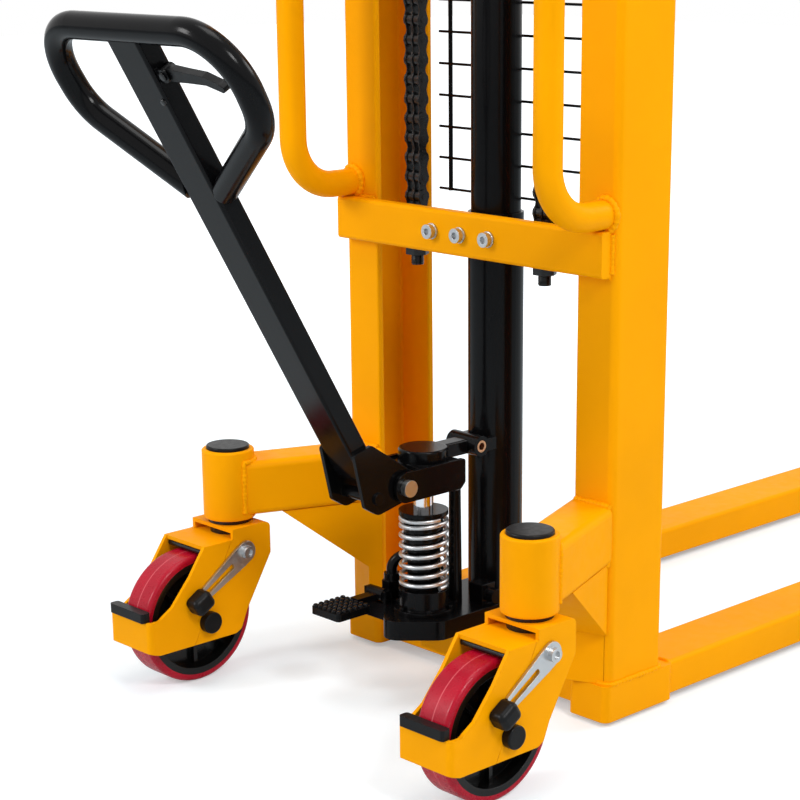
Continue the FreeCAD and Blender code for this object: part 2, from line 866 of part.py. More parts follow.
def caster_tyre():
    """Moulded tyre with rounded shoulders."""
    half = wheel_width/2
    inner = wheel_radius - tyre_depth
    outline = [V(-half, 0, inner), V(half, 0, inner), V(half, 0, wheel_radius), V(-half, 0, wheel_radius)]
    wire = rounded_wire(outline, [0, 0, tyre_round, tyre_round])
    tyre = Part.Face(wire).revolve(V(0, 0, 0), V(1, 0, 0), 360)
    tyre.translate(V(0, -caster_trail, wheel_radius))
    return tyre


def caster_hub():
    """Cast wheel centre: a rim ring, a thin web with ribs and a bored hub."""
    half = wheel_width/2
    rim_outer = wheel_radius - tyre_depth
    rim_inner = rim_outer - hub_rim_depth
    rim = wheel_solid([(-half, rim_inner), (half, rim_inner), (half, rim_outer), (-half, rim_outer)])
    web = wheel_solid([(-hub_web/2, 0), (hub_web/2, 0), (hub_web/2, rim_inner + hub_rim_depth/2),
                       (-hub_web/2, rim_inner + hub_rim_depth/2)])
    hub = rod(hub_radius, (-hub_half, -caster_trail, wheel_radius), (hub_half, -caster_trail, wheel_radius))
    ribs = []
    for i in range(hub_rib_count):
        rib = block((-half/2, -hub_rib_thick/2, hub_radius/2),
                    (half/2, hub_rib_thick/2, rim_inner + hub_rim_depth/2))
        rib.rotate(V(0, 0, 0), V(1, 0, 0), 360*i/hub_rib_count)
        rib.translate(V(0, -caster_trail, wheel_radius))
        ribs.append(rib)
    bore = rod(caster_axle_radius + running_gap, (-hub_half - overrun, -caster_trail, wheel_radius),
               (hub_half + overrun, -caster_trail, wheel_radius))
    return joined(rim, web, hub, *ribs).cut(bore)


def lever_frame(shape):
    """Turn a piece drawn along -y from the lever's pivot into its place on the caster."""
    shape.rotate(V(0, 0, 0), V(1, 0, 0), lever_droop)
    shape.translate(V(fork_half + lever_gap, lever_pivot_fore - caster_trail, wheel_radius + lever_pivot_rise))
    return shape


def brake_lever():
    """Flat lever with two prongs, its bolt and bolt head."""
    prong_half = lever_prong_gap/2 + lever_prong_width
    reach = lever_reach - knob_length/2
    points = [(lever_head_radius, lever_head_radius), (-lever_neck/2, lever_head_radius), (-reach, prong_half),
              (-reach, -prong_half), (-lever_neck/2, -lever_head_radius),
              (lever_head_radius, -lever_head_radius)]
    plate = slab(points, "x", 0, lever_thick, [lever_head_radius*near_round_share, 0, 0, 0, 0,
                                               lever_head_radius*near_round_share])
    slot = slab(rectangle(-reach - overrun, -lever_neck, -lever_prong_gap/2, lever_prong_gap/2), "x", -overrun,
                lever_thick + overrun, [0, lever_prong_gap/2*near_round_share,
                                        lever_prong_gap/2*near_round_share, 0])
    plate = plate.cut(slot)
    bolt = rod(lever_bolt_radius, (-fork_wall - lever_gap, 0, 0), (lever_thick, 0, 0))
    head = rod(lever_bolt_head, (lever_thick, 0, 0), (lever_thick + lever_bolt_head_length, 0, 0))
    socket = rod(lever_bolt_radius, (lever_thick + lever_bolt_head_length/2, 0, 0),
                 (lever_thick + lever_bolt_head_length + overrun, 0, 0))
    return lever_frame(joined(plate, bolt, head.cut(socket)))


def brake_knob():
    """Moulded knob pushed over the lever's two prongs."""
    prong_half = lever_prong_gap/2 + lever_prong_width
    middle = -lever_reach
    outline = rectangle(middle - knob_length/2, middle + knob_length/2, -knob_radius, knob_radius)
    knob = slab(outline, "x", 0, knob_thick, knob_radius*round_share)
    edges = [e for e in knob.Edges if e.BoundBox.XMin > knob_thick - running_gap]
    knob = knob.makeFillet(knob_round, edges)
    return lever_frame(knob)


def pump_base():
    """Cast base of the pump unit, with the pedal's ear, the guide post and the relief valve."""
    plan = [
        (pump_base_chamfer - pump_base_half, -pump_base_rear),
        (pump_base_half - pump_base_chamfer, -pump_base_rear),
        (pump_base_half, pump_base_chamfer - pump_base_rear),
        (pump_base_half, pump_base_front - pump_base_nose),
        (pump_base_half - pump_base_nose, pump_base_front),
        (pump_base_nose - pump_base_half, pump_base_front),
        (-pump_base_half, pump_base_front - pump_base_nose),
        (-pump_base_half, pump_base_chamfer - pump_base_rear),
    ]
    body = slab(plan, "z", pump_base_z, pump_top_z, pump_base_round)
    ear = slab(rectangle(ear_x - ear_half, ear_half - pump_base_half, pump_y - ear_rear, pump_y + ear_front),
               "z",
               pump_top_z - ear_drop, pump_top_z, pump_base_edge)
    post = Part.makeCone(post_foot, post_head, post_height, V(0, post_y, pump_top_z))
    valve = block((relief_x - relief_half, relief_y - relief_half, pump_top_z - pump_base_edge),
                  (relief_x + relief_half, relief_y + relief_half, pump_top_z + relief_height))
    stem_z = pump_top_z + relief_height/2
    stem = rod(relief_radius, (relief_x, relief_y, stem_z),
               (relief_x + relief_half + relief_reach, relief_y, stem_z))
    cap_start = relief_x + relief_half + relief_reach
    cap = rod(relief_cap_radius, (cap_start - relief_cap_length, relief_y, stem_z),
              (cap_start, relief_y, stem_z))
    body = joined(body, ear, post, valve, stem, cap)
    pin_z = pump_top_z + pedal_pin_rise
    pin_y = pump_y - pedal_pin_back
    for side in (-1, 1):
        inner = ear_x + side*(ear_half - ear_post)
        outer = ear_x + side*ear_half
        cheek = slab(rectangle(pin_y - ear_post, pin_y + ear_post, pump_top_z - pump_base_edge,
                               pump_top_z + ear_post_rise), "x", min(inner, outer), max(inner, outer), 0)
        body = joined(body, cheek)
    hole = rod(pedal_pin_radius + running_gap, (ear_x - ear_half - overrun, pin_y, pin_z),
               (ear_x + ear_half + overrun, pin_y, pin_z))
    return body.cut(hole)


def pump_barrel():
    """Spring cup and bored barrel of the pump."""
    cup = rod(cup_radius, (0, pump_y, pump_top_z), (0, pump_y, cup_top_z))
    flange = rod(cup_flange_radius, (0, pump_y, pump_top_z), (0, pump_y, pump_top_z + cup_flange_height))
    barrel = rod(barrel_radius, (0, pump_y, cup_top_z - overrun), (0, pump_y, cup_top_z + barrel_height))
    bore = rod(plunger_radius + running_gap, (0, pump_y, pump_top_z + overrun),
               (0, pump_y, cup_top_z + barrel_height + overrun))
    return joined(cup, flange, barrel).cut(bore)


def plunger():
    """Polished pump plunger with a domed head."""
    top = pivot_z - press_depth - seat_gap
    shaft = rod(plunger_radius, (0, pump_y, top - plunger_length), (0, pump_y, top))
    dome = Part.makeSphere(plunger_dome, V(0, pump_y, top - plunger_dome))
    keep = rod(plunger_radius, (0, pump_y, top - plunger_length), (0, pump_y, top - plunger_dome))
    return joined(shaft.common(dome), keep)


def spring_collar():
    """Collar on the plunger that holds the spring down, with a skirt inside the spring."""
    disc = sleeve(spring_collar_radius, plunger_radius, (0, pump_y, collar_z),
                  (0, pump_y, collar_z + spring_collar_height))
    skirt = sleeve(spring_radius - spring_wire/2 - skirt_gap, barrel_radius + skirt_gap,
                   (0, pump_y, collar_z - skirt_length),
                   (0, pump_y, collar_z))
    return joined(disc, skirt)


def spring_rise(turn):
    """Height of the spring's wire above its first turn: closed end turns and open turns between."""
    closed = spring_wire + spring_end_gap
    free = spring_height - spring_wire - seat_gap*2
    pitch = (free - closed*2)/(spring_turns - 2)
    if turn <= 1:
        return closed*turn
    if turn >= spring_turns - 1:
        return free - closed*(spring_turns - turn)
    return closed + pitch*(turn - 1)


def spring_point(turn):
    """Point of the spring's centre line after a number of turns."""
    angle = 2*math.pi*turn
    low = cup_top_z + seat_gap + spring_wire/2
    return V(spring_radius*math.cos(angle), pump_y + spring_radius*math.sin(angle), low + spring_rise(turn))


def spring_tangent(turn):
    """Direction of the spring's centre line after a number of turns."""
    step_share = 0.05
    before = max(0, turn - step_share)
    after = min(spring_turns, turn + step_share)
    slope = (spring_rise(after) - spring_rise(before))/(after - before)/(2*math.pi)
    angle = 2*math.pi*turn
    return V(-spring_radius*math.sin(angle), spring_radius*math.cos(angle), slope).normalize()


def tangent_arc(start, knee, end):
    """Arc from start to end whose tangents meet at the knee."""
    middle = (start + end)/2
    half = start.distanceToPoint(end)/2
    lean_angle = math.acos(min(1, half/start.distanceToPoint(knee)))
    return Part.Arc(start, middle + (knee - middle).normalize()*(half*math.tan(lean_angle/2)), end).toShape()


def biarc(start, start_way, end, end_way):
    """Two tangent arcs between two points with given directions."""
    chord = end - start
    ways = start_way + end_way
    spread = 2*(1 - start_way.dot(end_way))
    reach = (math.sqrt(chord.dot(ways)**2 + spread*chord.dot(chord)) - chord.dot(ways))/spread
    first = start + start_way*reach
    second = end - end_way*reach
    middle = (first + second)/2
    return [tangent_arc(start, first, middle), tangent_arc(middle, second, end)]


def pump_spring():
    """Return spring: one unbroken wire wound in quarter turns, with straight ends."""
    quarters = spring_turns*4
    edges = [Part.LineSegment(spring_point(0) - spring_tangent(0)*spring_wire, spring_point(0)).toShape()]
    for i in range(quarters):
        start, end = i/4, (i + 1)/4
        edges += biarc(spring_point(start), spring_tangent(start), spring_point(end), spring_tangent(end))
    last = spring_point(spring_turns)
    edges.append(Part.LineSegment(last, last + spring_tangent(spring_turns)*spring_wire).toShape())
    path = Part.Wire(edges)
    begin = spring_point(0) - spring_tangent(0)*spring_wire
    section = Part.Wire(Part.Circle(begin, spring_tangent(0), spring_wire/2).toShape())
    return path.makePipeShell([section], True, False)


def spring_self_gap():
    """Least gap between neighbouring turns, measured on points of the centre line."""
    steps = spring_turns*48
    points = [spring_point(spring_turns*i/steps) for i in range(steps + 1)]
    least = spring_height
    for i in range(steps + 1):
        for j in range(i + 24, steps + 1):
            least = min(least, points[i].distanceToPoint(points[j]))
    return least - spring_wire


def oil_reservoir():
    """Outer tube round the foot of the lift cylinder, with the two lugs of the rocker's pivot."""
    low = pump_top_z
    high = pump_top_z + reservoir_height
    body = rod(reservoir_radius, (0, cylinder_y, low), (0, cylinder_y, high))
    inner = eye_half + lug_gap
    for side in (-1, 1):
        near, far = sorted((side*inner, side*(inner + lug_wall)))
        plate = block((near, pivot_y, pivot_z - eye_radius*round_share),
                      (far, cylinder_y, pivot_z + eye_radius*round_share))
        nose = rod(eye_radius, (near, pivot_y, pivot_z), (far, pivot_y, pivot_z))
        body = joined(body, plate, nose)
    bore = rod(reservoir_radius - reservoir_wall, (0, cylinder_y, low - overrun),
               (0, cylinder_y, high + overrun))
    reach = inner + lug_wall + overrun
    hole = rod(pivot_pin_radius + running_gap, (-reach, pivot_y, pivot_z), (reach, pivot_y, pivot_z))
    return body.cut(bore).cut(hole)


def lift_cylinder():
    """Lift cylinder tube with its floor and the gland at its mouth."""
    body = rod(cylinder_radius, (0, cylinder_y, pump_top_z), (0, cylinder_y, cylinder_top))
    bore = rod(cylinder_radius - cylinder_wall, (0, cylinder_y, pump_top_z + cylinder_floor),
               (0, cylinder_y, cylinder_top + overrun))
    gland = sleeve(gland_radius, ram_radius + running_gap, (0, cylinder_y, cylinder_top),
                   (0, cylinder_y, cylinder_top + gland_height))
    return joined(body.cut(bore), gland)


def oil_pipe():
    """Union nut, collar and bent pipe from the release valve over to the pump base."""
    low = pump_top_z
    nut_top = low + pipe_nut_height
    collar_top = nut_top + pipe_collar_height
    nut = hexagon(pipe_nut_radius, (ear_x, pipe_y, low), (ear_x, pipe_y, nut_top))
    collar = rod(pipe_collar_radius, (ear_x, pipe_y, nut_top), (ear_x, pipe_y, collar_top))
    level = collar_top + pipe_rise
    points = [V(ear_x, pipe_y, collar_top), V(ear_x, pipe_y, level), V(pipe_aim_x, pipe_aim_y, level),
              V(pipe_aim_x, pipe_aim_y, low)]
    return joined(nut, collar, bent_rod(points, [pipe_bend]*2, pipe_radius))


def release_pedal():
    """Foot pedal on its cross pin, with the arm and the square pad."""
    pin_z = pump_top_z + pedal_pin_rise
    pin_y = pump_y - pedal_pin_back
    half = ear_half - ear_post - lug_gap
    boss = rod(pedal_boss_radius, (ear_x - half, pin_y, pin_z), (ear_x + half, pin_y, pin_z))
    pin = rod(pedal_pin_radius, (ear_x - ear_half, pin_y, pin_z), (ear_x + ear_half, pin_y, pin_z))
    arm_low = pin_z - pedal_boss_radius + pedal_corner/2
    arm = block((ear_x - pedal_arm_half, pin_y - pedal_reach - pedal_corner, arm_low),
                (ear_x + pedal_arm_half, pin_y, arm_low + pedal_arm_thick))
    pad_front = pin_y - pedal_reach
    pad_low = arm_low - pedal_pad_drop
    pad = slab(rectangle(ear_x - pedal_pad_half, ear_x + pedal_pad_half, pad_front - pedal_pad_length,
                         pad_front),
               "z", pad_low, pad_low + pedal_pad_thick, pedal_corner)
    return joined(boss, pin, arm, pad)


def rocker_pin():
    """Hollow pin of the rocker's pivot."""
    half = eye_half + lug_gap + lug_wall
    return sleeve(pivot_pin_radius, pivot_bush_radius, (-half, pivot_y, pivot_z), (half, pivot_y, pivot_z))


def rocker():
    """Pump rocker: two side plates, the plate and disc over the plunger, and the arm with its eye."""
    rear = pivot_y - rocker_rear
    front = pivot_y - rocker_front
    top = pivot_z - rocker_top
    low = pivot_z - rocker_bottom
    points = [(rear, top), (front, top), (front, low + rocker_corner*2), (front - rocker_corner*2, low),
              (rear, low)]
    plate = slab(points, "x", rocker_half - rocker_wall, rocker_half,
                 [rocker_tail, rocker_corner, rocker_corner, rocker_corner, rocker_tail])
    inner = rocker_half - rocker_wall
    press = block((-inner, pivot_y - press_rear, pivot_z - press_depth),
                  (inner, pivot_y - press_front, pivot_z - press_depth + press_thick))
    disc = rod(disc_radius, (0, pump_y, pivot_z - press_depth), (0, pump_y, pivot_z + disc_top))
    rim = [e for e in disc.Edges if e.Closed and e.BoundBox.ZMin > pivot_z]
    disc = disc.makeFillet(disc_edge, rim)
    arm = slab(rectangle(-arm_half, arm_half, pivot_z - arm_bottom, pivot_z + arm_top), "y",
               pump_y + disc_radius/2, pivot_y, disc_edge)
    eye = rod(eye_radius, (-eye_half, pivot_y, pivot_z), (eye_half, pivot_y, pivot_z))
    body = joined(plate, mirrored(plate), press, disc, arm, eye)
    bore = rod(pivot_pin_radius + running_gap, (-eye_half - overrun, pivot_y, pivot_z),
               (eye_half + overrun, pivot_y, pivot_z))
    bolt = rod(rocker_bolt_radius + running_gap, (-rocker_half - overrun, socket_bolt_y, socket_bolt_z),
               (rocker_half + overrun, socket_bolt_y, socket_bolt_z))
    return body.cut(bore).cut(bolt)


def rocker_bolt():
    """Bolt and nut that join the rocker to the tiller's socket."""
    bolt = rod(rocker_bolt_radius, (-rocker_half - bolt_head_length, socket_bolt_y, socket_bolt_z),
               (rocker_half, socket_bolt_y, socket_bolt_z))
    head = rod(bolt_head_radius, (rocker_half, socket_bolt_y, socket_bolt_z),
               (rocker_half + bolt_head_length, socket_bolt_y, socket_bolt_z))
    nut = rod(bolt_head_radius, (-rocker_half - bolt_head_length, socket_bolt_y, socket_bolt_z),
              (-rocker_half, socket_bolt_y, socket_bolt_z))
    return joined(bolt, head, nut)


def lean_tiller(shape):
    """Turn a piece drawn upright about the origin into the tiller's leaning place."""
    shape.rotate(V(0, 0, 0), V(1, 0, 0), tiller_lean)
    shape.translate(tiller_origin)
    return shape


def trigger_cheeks():
    """Two cheeks on the tiller's right side that hold the finger lever's pin."""
    inner = trigger_thick/2 + lug_gap
    corner = trigger_boss*near_round_share
    outline = rectangle((tiller_width - tiller_wall)/2, trigger_x + trigger_boss, trigger_t - trigger_boss,
                        trigger_t + trigger_boss)
    cheeks = []
    for low in (inner, -inner - trigger_lug):
        cheek = slab(outline, "y", low, low + trigger_lug, [0, corner, corner, 0])
        hole = rod(trigger_pin_radius + running_gap, (trigger_x, low - overrun, trigger_t),
                   (trigger_x, low + trigger_lug + overrun, trigger_t))
        cheeks.append(lean_tiller(cheek.cut(hole)))
    return cheeks


def tiller_tube():
    """Rectangular tiller tube with the two socket plates welded to its foot."""
    half_x = tiller_width/2
    half_y = tiller_thick/2
    top = grip_top
    outer = slab(rectangle(-half_x, half_x, -half_y, half_y), "z", -tiller_foot, top, tiller_corner)
    inner = slab(rectangle(tiller_wall - half_x, half_x - tiller_wall, tiller_wall - half_y,
                           half_y - tiller_wall),
                 "z", -tiller_foot - overrun, top - grip_radius - tiller_wall, tiller_corner - tiller_wall)
    cope = rod(grip_radius, (-tiller_width, 0, grip_top), (tiller_width, 0, grip_top))
    tube = lean_tiller(outer.cut(inner).cut(cope))
    crown = tiller_origin + tiller_up*socket_heel
    points = [
        (socket_bolt_y + socket_nose, socket_bolt_z + socket_nose),
        (crown.y + socket_crown, crown.z + socket_crown/2),
        (crown.y - socket_crown, crown.z),
        (socket_pin_y - socket_heel, socket_pin_z - socket_nose/2),
        (socket_pin_y, socket_pin_z - socket_heel),
        (socket_bolt_y + socket_nose, socket_bolt_z - socket_nose),
    ]
    radii = [socket_nose*round_share, socket_crown/3, socket_crown/3, socket_crown/2, socket_crown,
             socket_nose*round_share]
    plate = slab(points, "x", half_x, half_x + socket_wall, radii)
    reach = half_x + socket_wall + socket_pin_head
    pin = rod(rocker_bolt_radius, (-reach, socket_pin_y, socket_pin_z), (reach, socket_pin_y, socket_pin_z))
    body = joined(tube, plate, mirrored(plate), pin, *trigger_cheeks())
    return body.cut(rod(rocker_bolt_radius + running_gap, (-rocker_half, socket_bolt_y, socket_bolt_z),
                        (rocker_half, socket_bolt_y, socket_bolt_z)))


def tiller_grip():
    """Closed loop of tube at the head of the tiller."""
    half_x = tiller_width/2
    points = [V(half_x, 0, grip_join), V(grip_waist, 0, grip_waist_t), V(grip_shoulder, 0, grip_top),
              V(-grip_shoulder, 0, grip_top), V(-grip_waist, 0, grip_waist_t), V(-half_x, 0, grip_join)]
    bends = [grip_waist_bend, grip_bend, grip_bend, grip_waist_bend]
    loop = bent_tube(points, bends, grip_radius, grip_wall)
    core = block((-half_x, -tiller_thick, 0), (half_x, tiller_thick, grip_top - grip_bend))
    return lean_tiller(loop.cut(core))


def finger_lever():
    """Release trigger in its cheeks on the tiller's right side, under the grip's top bar."""
    half = trigger_thick/2
    reach = half + lug_gap + trigger_lug
    boss = rod(trigger_boss, (trigger_x, -half, trigger_t), (trigger_x, half, trigger_t))
    pin = rod(trigger_pin_radius, (trigger_x, -reach, trigger_t), (trigger_x, reach, trigger_t))
    points = [(trigger_x + trigger_length*along, trigger_t + trigger_length*up) for along, up in trigger_shares]
    arm = slab(points, "y", -half, half, trigger_round)
    return lean_tiller(joined(boss, pin, arm))


def ram_rod():
    """Chromed lift ram."""
    top = sheave_z - crosshead_below
    return rod(ram_radius, (0, cylinder_y, top - ram_length), (0, cylinder_y, top))


def crosshead():
    """Block on the ram with a stub axle and retaining collar for each chain sheave."""
    body = slab(rectangle(cylinder_y - crosshead_depth/2, cylinder_y + crosshead_depth/2,
                          sheave_z - crosshead_below,
                          sheave_z + crosshead_above), "x", -crosshead_half, crosshead_half, crosshead_corner)
    reach = chain_x + sheave_half_width + lug_gap
    for side in (-1, 1):
        stub = rod(sheave_axle_radius, (side*(crosshead_half - crosshead_corner), cylinder_y, sheave_z),
                   (side*(reach + retainer_length), cylinder_y, sheave_z))
        collar = rod(retainer_radius, (side*reach, cylinder_y, sheave_z),
                     (side*(reach + retainer_length), cylinder_y, sheave_z))
        body = joined(body, stub, collar)
    return body


def sheave():
    """Right-hand grooved chain wheel."""
    seat = sheave_radius - chain_half_depth - seat_gap
    rim = sheave_radius + sheave_flange
    low = chain_x - sheave_half_width
    high = chain_x + sheave_half_width
    groove_low = chain_x - chain_half_width - seat_gap
    groove_high = chain_x + chain_half_width + seat_gap
    bore = sheave_axle_radius + running_gap
    profile = [(low, bore), (high, bore), (high, rim), (groove_high, rim), (groove_high, seat),
               (groove_low, seat),
               (groove_low, rim), (low, rim)]
    points = [V(x, cylinder_y, sheave_z + r) for x, r in profile]
    return Part.Face(Part.makePolygon(points + points[:1])).revolve(V(0, cylinder_y, sheave_z), V(1, 0, 0), 360)


def chain_strand(y, low, high):
    """Right-hand straight run of double chain: three rows of plates joined by a bar at every pitch."""
    outer = rounded_wire([V(x, y - chain_half_depth, z) for x, z in
                          rectangle(chain_x - chain_half_width, chain_x + chain_half_width, low, high)], [0]*4)
    near = chain_rib/2
    far = chain_half_width - chain_plate
    window = chain_pitch - chain_bar
    count = int((high - low - chain_bar)/chain_pitch)
    wires = [outer]
    for i in range(count):
        start = low + chain_bar + chain_pitch*i
        for low_x, high_x in ((chain_x - far, chain_x - near), (chain_x + near, chain_x + far)):
            wires.append(rounded_wire([V(x, y - chain_half_depth, z) for x, z in
                                       rectangle(low_x, high_x, start, start + window)], [0]*4))
    return Part.Face(wires, "Part::FaceMakerBullseye").extrude(V(0, chain_half_depth*2, 0))


def chain_wrap():
    """Right-hand half turn of chain over the sheave."""
    ring = sleeve(sheave_radius + chain_half_depth, sheave_radius - chain_half_depth,
                  (chain_x - chain_half_width, cylinder_y, sheave_z),
                  (chain_x + chain_half_width, cylinder_y, sheave_z))
    reach = sheave_radius*2
    keep = block((chain_x - reach, cylinder_y - reach, sheave_z),
                 (chain_x + reach, cylinder_y + reach, sheave_z + reach))
    return ring.common(keep)


def chain_anchor():
    """Right-hand threaded anchor under the chain's fixed end, with its nut."""
    seat = lower_bar_z
    body = rod(anchor_radius, (chain_x, chain_y, seat - anchor_tail), (chain_x, chain_y, anchor_seat + overrun))
    nut = hexagon(anchor_nut_radius, (chain_x, chain_y, seat - anchor_nut_height), (chain_x, chain_y, seat))
    collar = rod(anchor_collar, (chain_x, chain_y, anchor_seat),
                 (chain_x, chain_y, anchor_seat + anchor_collar_height))
    eye = block((chain_x - chain_half_width, chain_y - chain_half_depth, anchor_seat + anchor_collar_height),
                (chain_x + chain_half_width, chain_y + chain_half_depth, chain_start))
    return joined(body, nut, collar, eye)


def carriage_frame():
    """Fork carriage: side plates in the masts, cross bars and posts in front, and the chain lugs."""
    low = fork_height - carriage_drop
    high = fork_height + carriage_rise
    side = slab(rectangle(carriage_plate_rear, carriage_y + carriage_corner/2, low, high), "x", plate_inner,
                plate_outer,
                [carriage_corner, 0, 0, carriage_corner])
    for rise in (roller_low, roller_high):
        side = side.cut(rod(roller_pin_radius + running_gap,
                            (plate_inner - overrun, mast_depth/2, fork_height + rise),
                            (plate_outer + overrun, mast_depth/2, fork_height + rise)))
    lug = block((chain_x - carriage_lug_reach, front_chain_y - carriage_lug_depth/2, lug_base),
                (plate_inner + carriage_plate/2, front_chain_y + carriage_lug_depth/2, lug_base + lug_height))
    post_outer = carriage_top_bar_half - carriage_post_inset
    post = block((post_outer - carriage_post_width, carriage_y, low), (post_outer, carriage_front, high))
    half = joined(side, lug, post)
    lower = slab(rectangle(-fork_outer, fork_outer, low, low + carriage_bar_height), "y", carriage_y,
                 carriage_front,
                 carriage_corner)
    upper = slab(rectangle(-carriage_top_bar_half, carriage_top_bar_half, high - carriage_top_bar_height,
                           high), "y",
                 carriage_y, carriage_front, carriage_corner)
    return joined(half, mirrored(half), lower, upper)


def load_fork():
    """Right-hand fork: an upturned channel with a tapered tip and a braced heel."""
    top = fork_height
    tip = fork_tip_y - load_fork_tip_length
    section = rectangle(fork_inner, fork_outer, top - load_fork_depth, top)
    body = slab(section, "y", carriage_front, fork_tip_y, [0, 0, load_fork_corner, load_fork_corner])
    side = slab([(carriage_front, top), (carriage_front, top - load_fork_depth), (tip, top - load_fork_depth),
                 (fork_tip_y, top - load_fork_tip_depth), (fork_tip_y, top)], "x", fork_inner, fork_outer)
    plan = slab(rectangle(fork_inner, fork_outer, carriage_front, fork_tip_y), "z", top - load_fork_depth, top,
                [0, 0, load_fork_tip_round, load_fork_tip_round])
    hollow = block((fork_inner + load_fork_wall, carriage_front - overrun, top - load_fork_depth - overrun),
                   (fork_outer - load_fork_wall, fork_tip_y - load_fork_tip_round, top - load_fork_wall))
    body = body.common(side).common(plan).cut(hollow)
    heel = block((fork_inner, carriage_front, top - carriage_drop),
                 (fork_outer, carriage_front + heel_thick, top + heel_height))
    body = joined(body, heel)
    web_back = carriage_front + heel_thick
    for start in (fork_inner + heel_web_inset, fork_outer - heel_web_inset - heel_web_thick):
        web = slab([(web_back - heel_thick/2, top - load_fork_wall/2),
                    (web_back + heel_web_length, top - load_fork_wall/2),
                    (web_back - heel_thick/2, top + heel_height)], "x", start, start + heel_web_thick)
        body = joined(body, web)
    return body


def roller_pin(rise):
    """Right-hand pin of a carriage roller, headed on the inside of the side plate."""
    z = fork_height + rise
    pin = rod(roller_pin_radius, (plate_inner, mast_depth/2, z),
              (mast_half - mast_web - roller_web_gap/3, mast_depth/2, z))
    head = rod(roller_pin_head, (plate_inner - roller_pin_head_length, mast_depth/2, z),
               (plate_inner, mast_depth/2, z))
    return joined(pin, head)


def carriage_roller(rise):
    """Right-hand guide roller inside the mast channel."""
    z = fork_height + rise
    high = mast_half - mast_web - roller_web_gap
    low = high - roller_width
    bore = roller_pin_radius + running_gap
    rim = roller_radius
    profile = [(low, bore), (high, bore), (high, rim - roller_edge), (high - roller_edge, rim),
               (low + roller_edge, rim),
               (low, rim - roller_edge)]
    points = [V(x, mast_depth/2, z + r) for x, r in profile]
    return Part.Face(Part.makePolygon(points + points[:1])).revolve(V(0, mast_depth/2, z), V(1, 0, 0), 360)


def mesh_face_wire(low_x, high_x, low_z, high_z):
    """Rectangle on the rear face of the wire guard."""
    points = [V(x, mesh_y - mesh_border_radius, z) for x, z in rectangle(low_x, high_x, low_z, high_z)]
    return rounded_wire(points, [0]*len(points))


def mesh_outline(rows):
    """Outer edge of the wire guard: its border with the ends of the cross wires standing out."""
    edge = mesh_half + mesh_border_radius
    right = []
    for i in range(rows + 1):
        low = mesh_bottom + mesh_pitch*i
        right += rectangle(edge, mesh_reach, low, low + mesh_wire_radius*2)
    left = [(-x, z) for x, z in reversed(right)]
    points = [V(x, mesh_y - mesh_border_radius, z) for x, z in right[1:-1] + left[1:-1]]
    return rounded_wire(points, [0]*len(points))


def mesh_guard():
    """Welded guard between the masts: one holed net, clamped to the cylinder and hooked to the bar."""
    rows = int(mesh_height/mesh_pitch)
    high = mesh_bottom + mesh_pitch*rows + mesh_wire_radius*2
    hook_z = mesh_bottom + mesh_height + mesh_hook_drop
    inner_xs = [mesh_inner_step*i - mesh_inner for i in (0, 1)]
    uprights = [-mesh_half] + inner_xs + [mesh_half]
    wires = [mesh_outline(rows)]
    for i in range(rows):
        low = mesh_bottom + mesh_wire_radius*2 + mesh_pitch*i
        for left, right in zip(uprights, uprights[1:]):
            wires.append(mesh_face_wire(left + mesh_border_radius, right - mesh_border_radius, low,
                                        low + mesh_pitch - mesh_wire_radius*2))
    net = Part.Face(wires, "Part::FaceMakerBullseye").extrude(V(0, mesh_border_radius*2, 0))
    pieces = []
    for x in inner_xs:
        points = [V(x, mesh_y, high - mesh_wire_radius), V(x, mesh_y, hook_z), V(x, 0, hook_z)]
        pieces.append(bent_rod(points, [mesh_border_radius*4], mesh_border_radius))
    cylinder = rod(cylinder_radius, (0, cylinder_y, 0), (0, cylinder_y, cylinder_top))
    clamp_start = cylinder_y + cylinder_radius*round_share
    for z in (mesh_clamp_low, mesh_clamp_high):
        clamp = block((inner_xs[0], clamp_start, z), (inner_xs[1], mesh_y, z + mesh_clamp_height))
        pieces.append(clamp.cut(cylinder))
    return joined(net, *pieces)


def caster_at(shape, side):
    """Move a caster piece from the swivel line to the left or right caster."""
    moved = shape.copy()
    moved.translate(V(side*caster_x, caster_y, 0))
    return moved


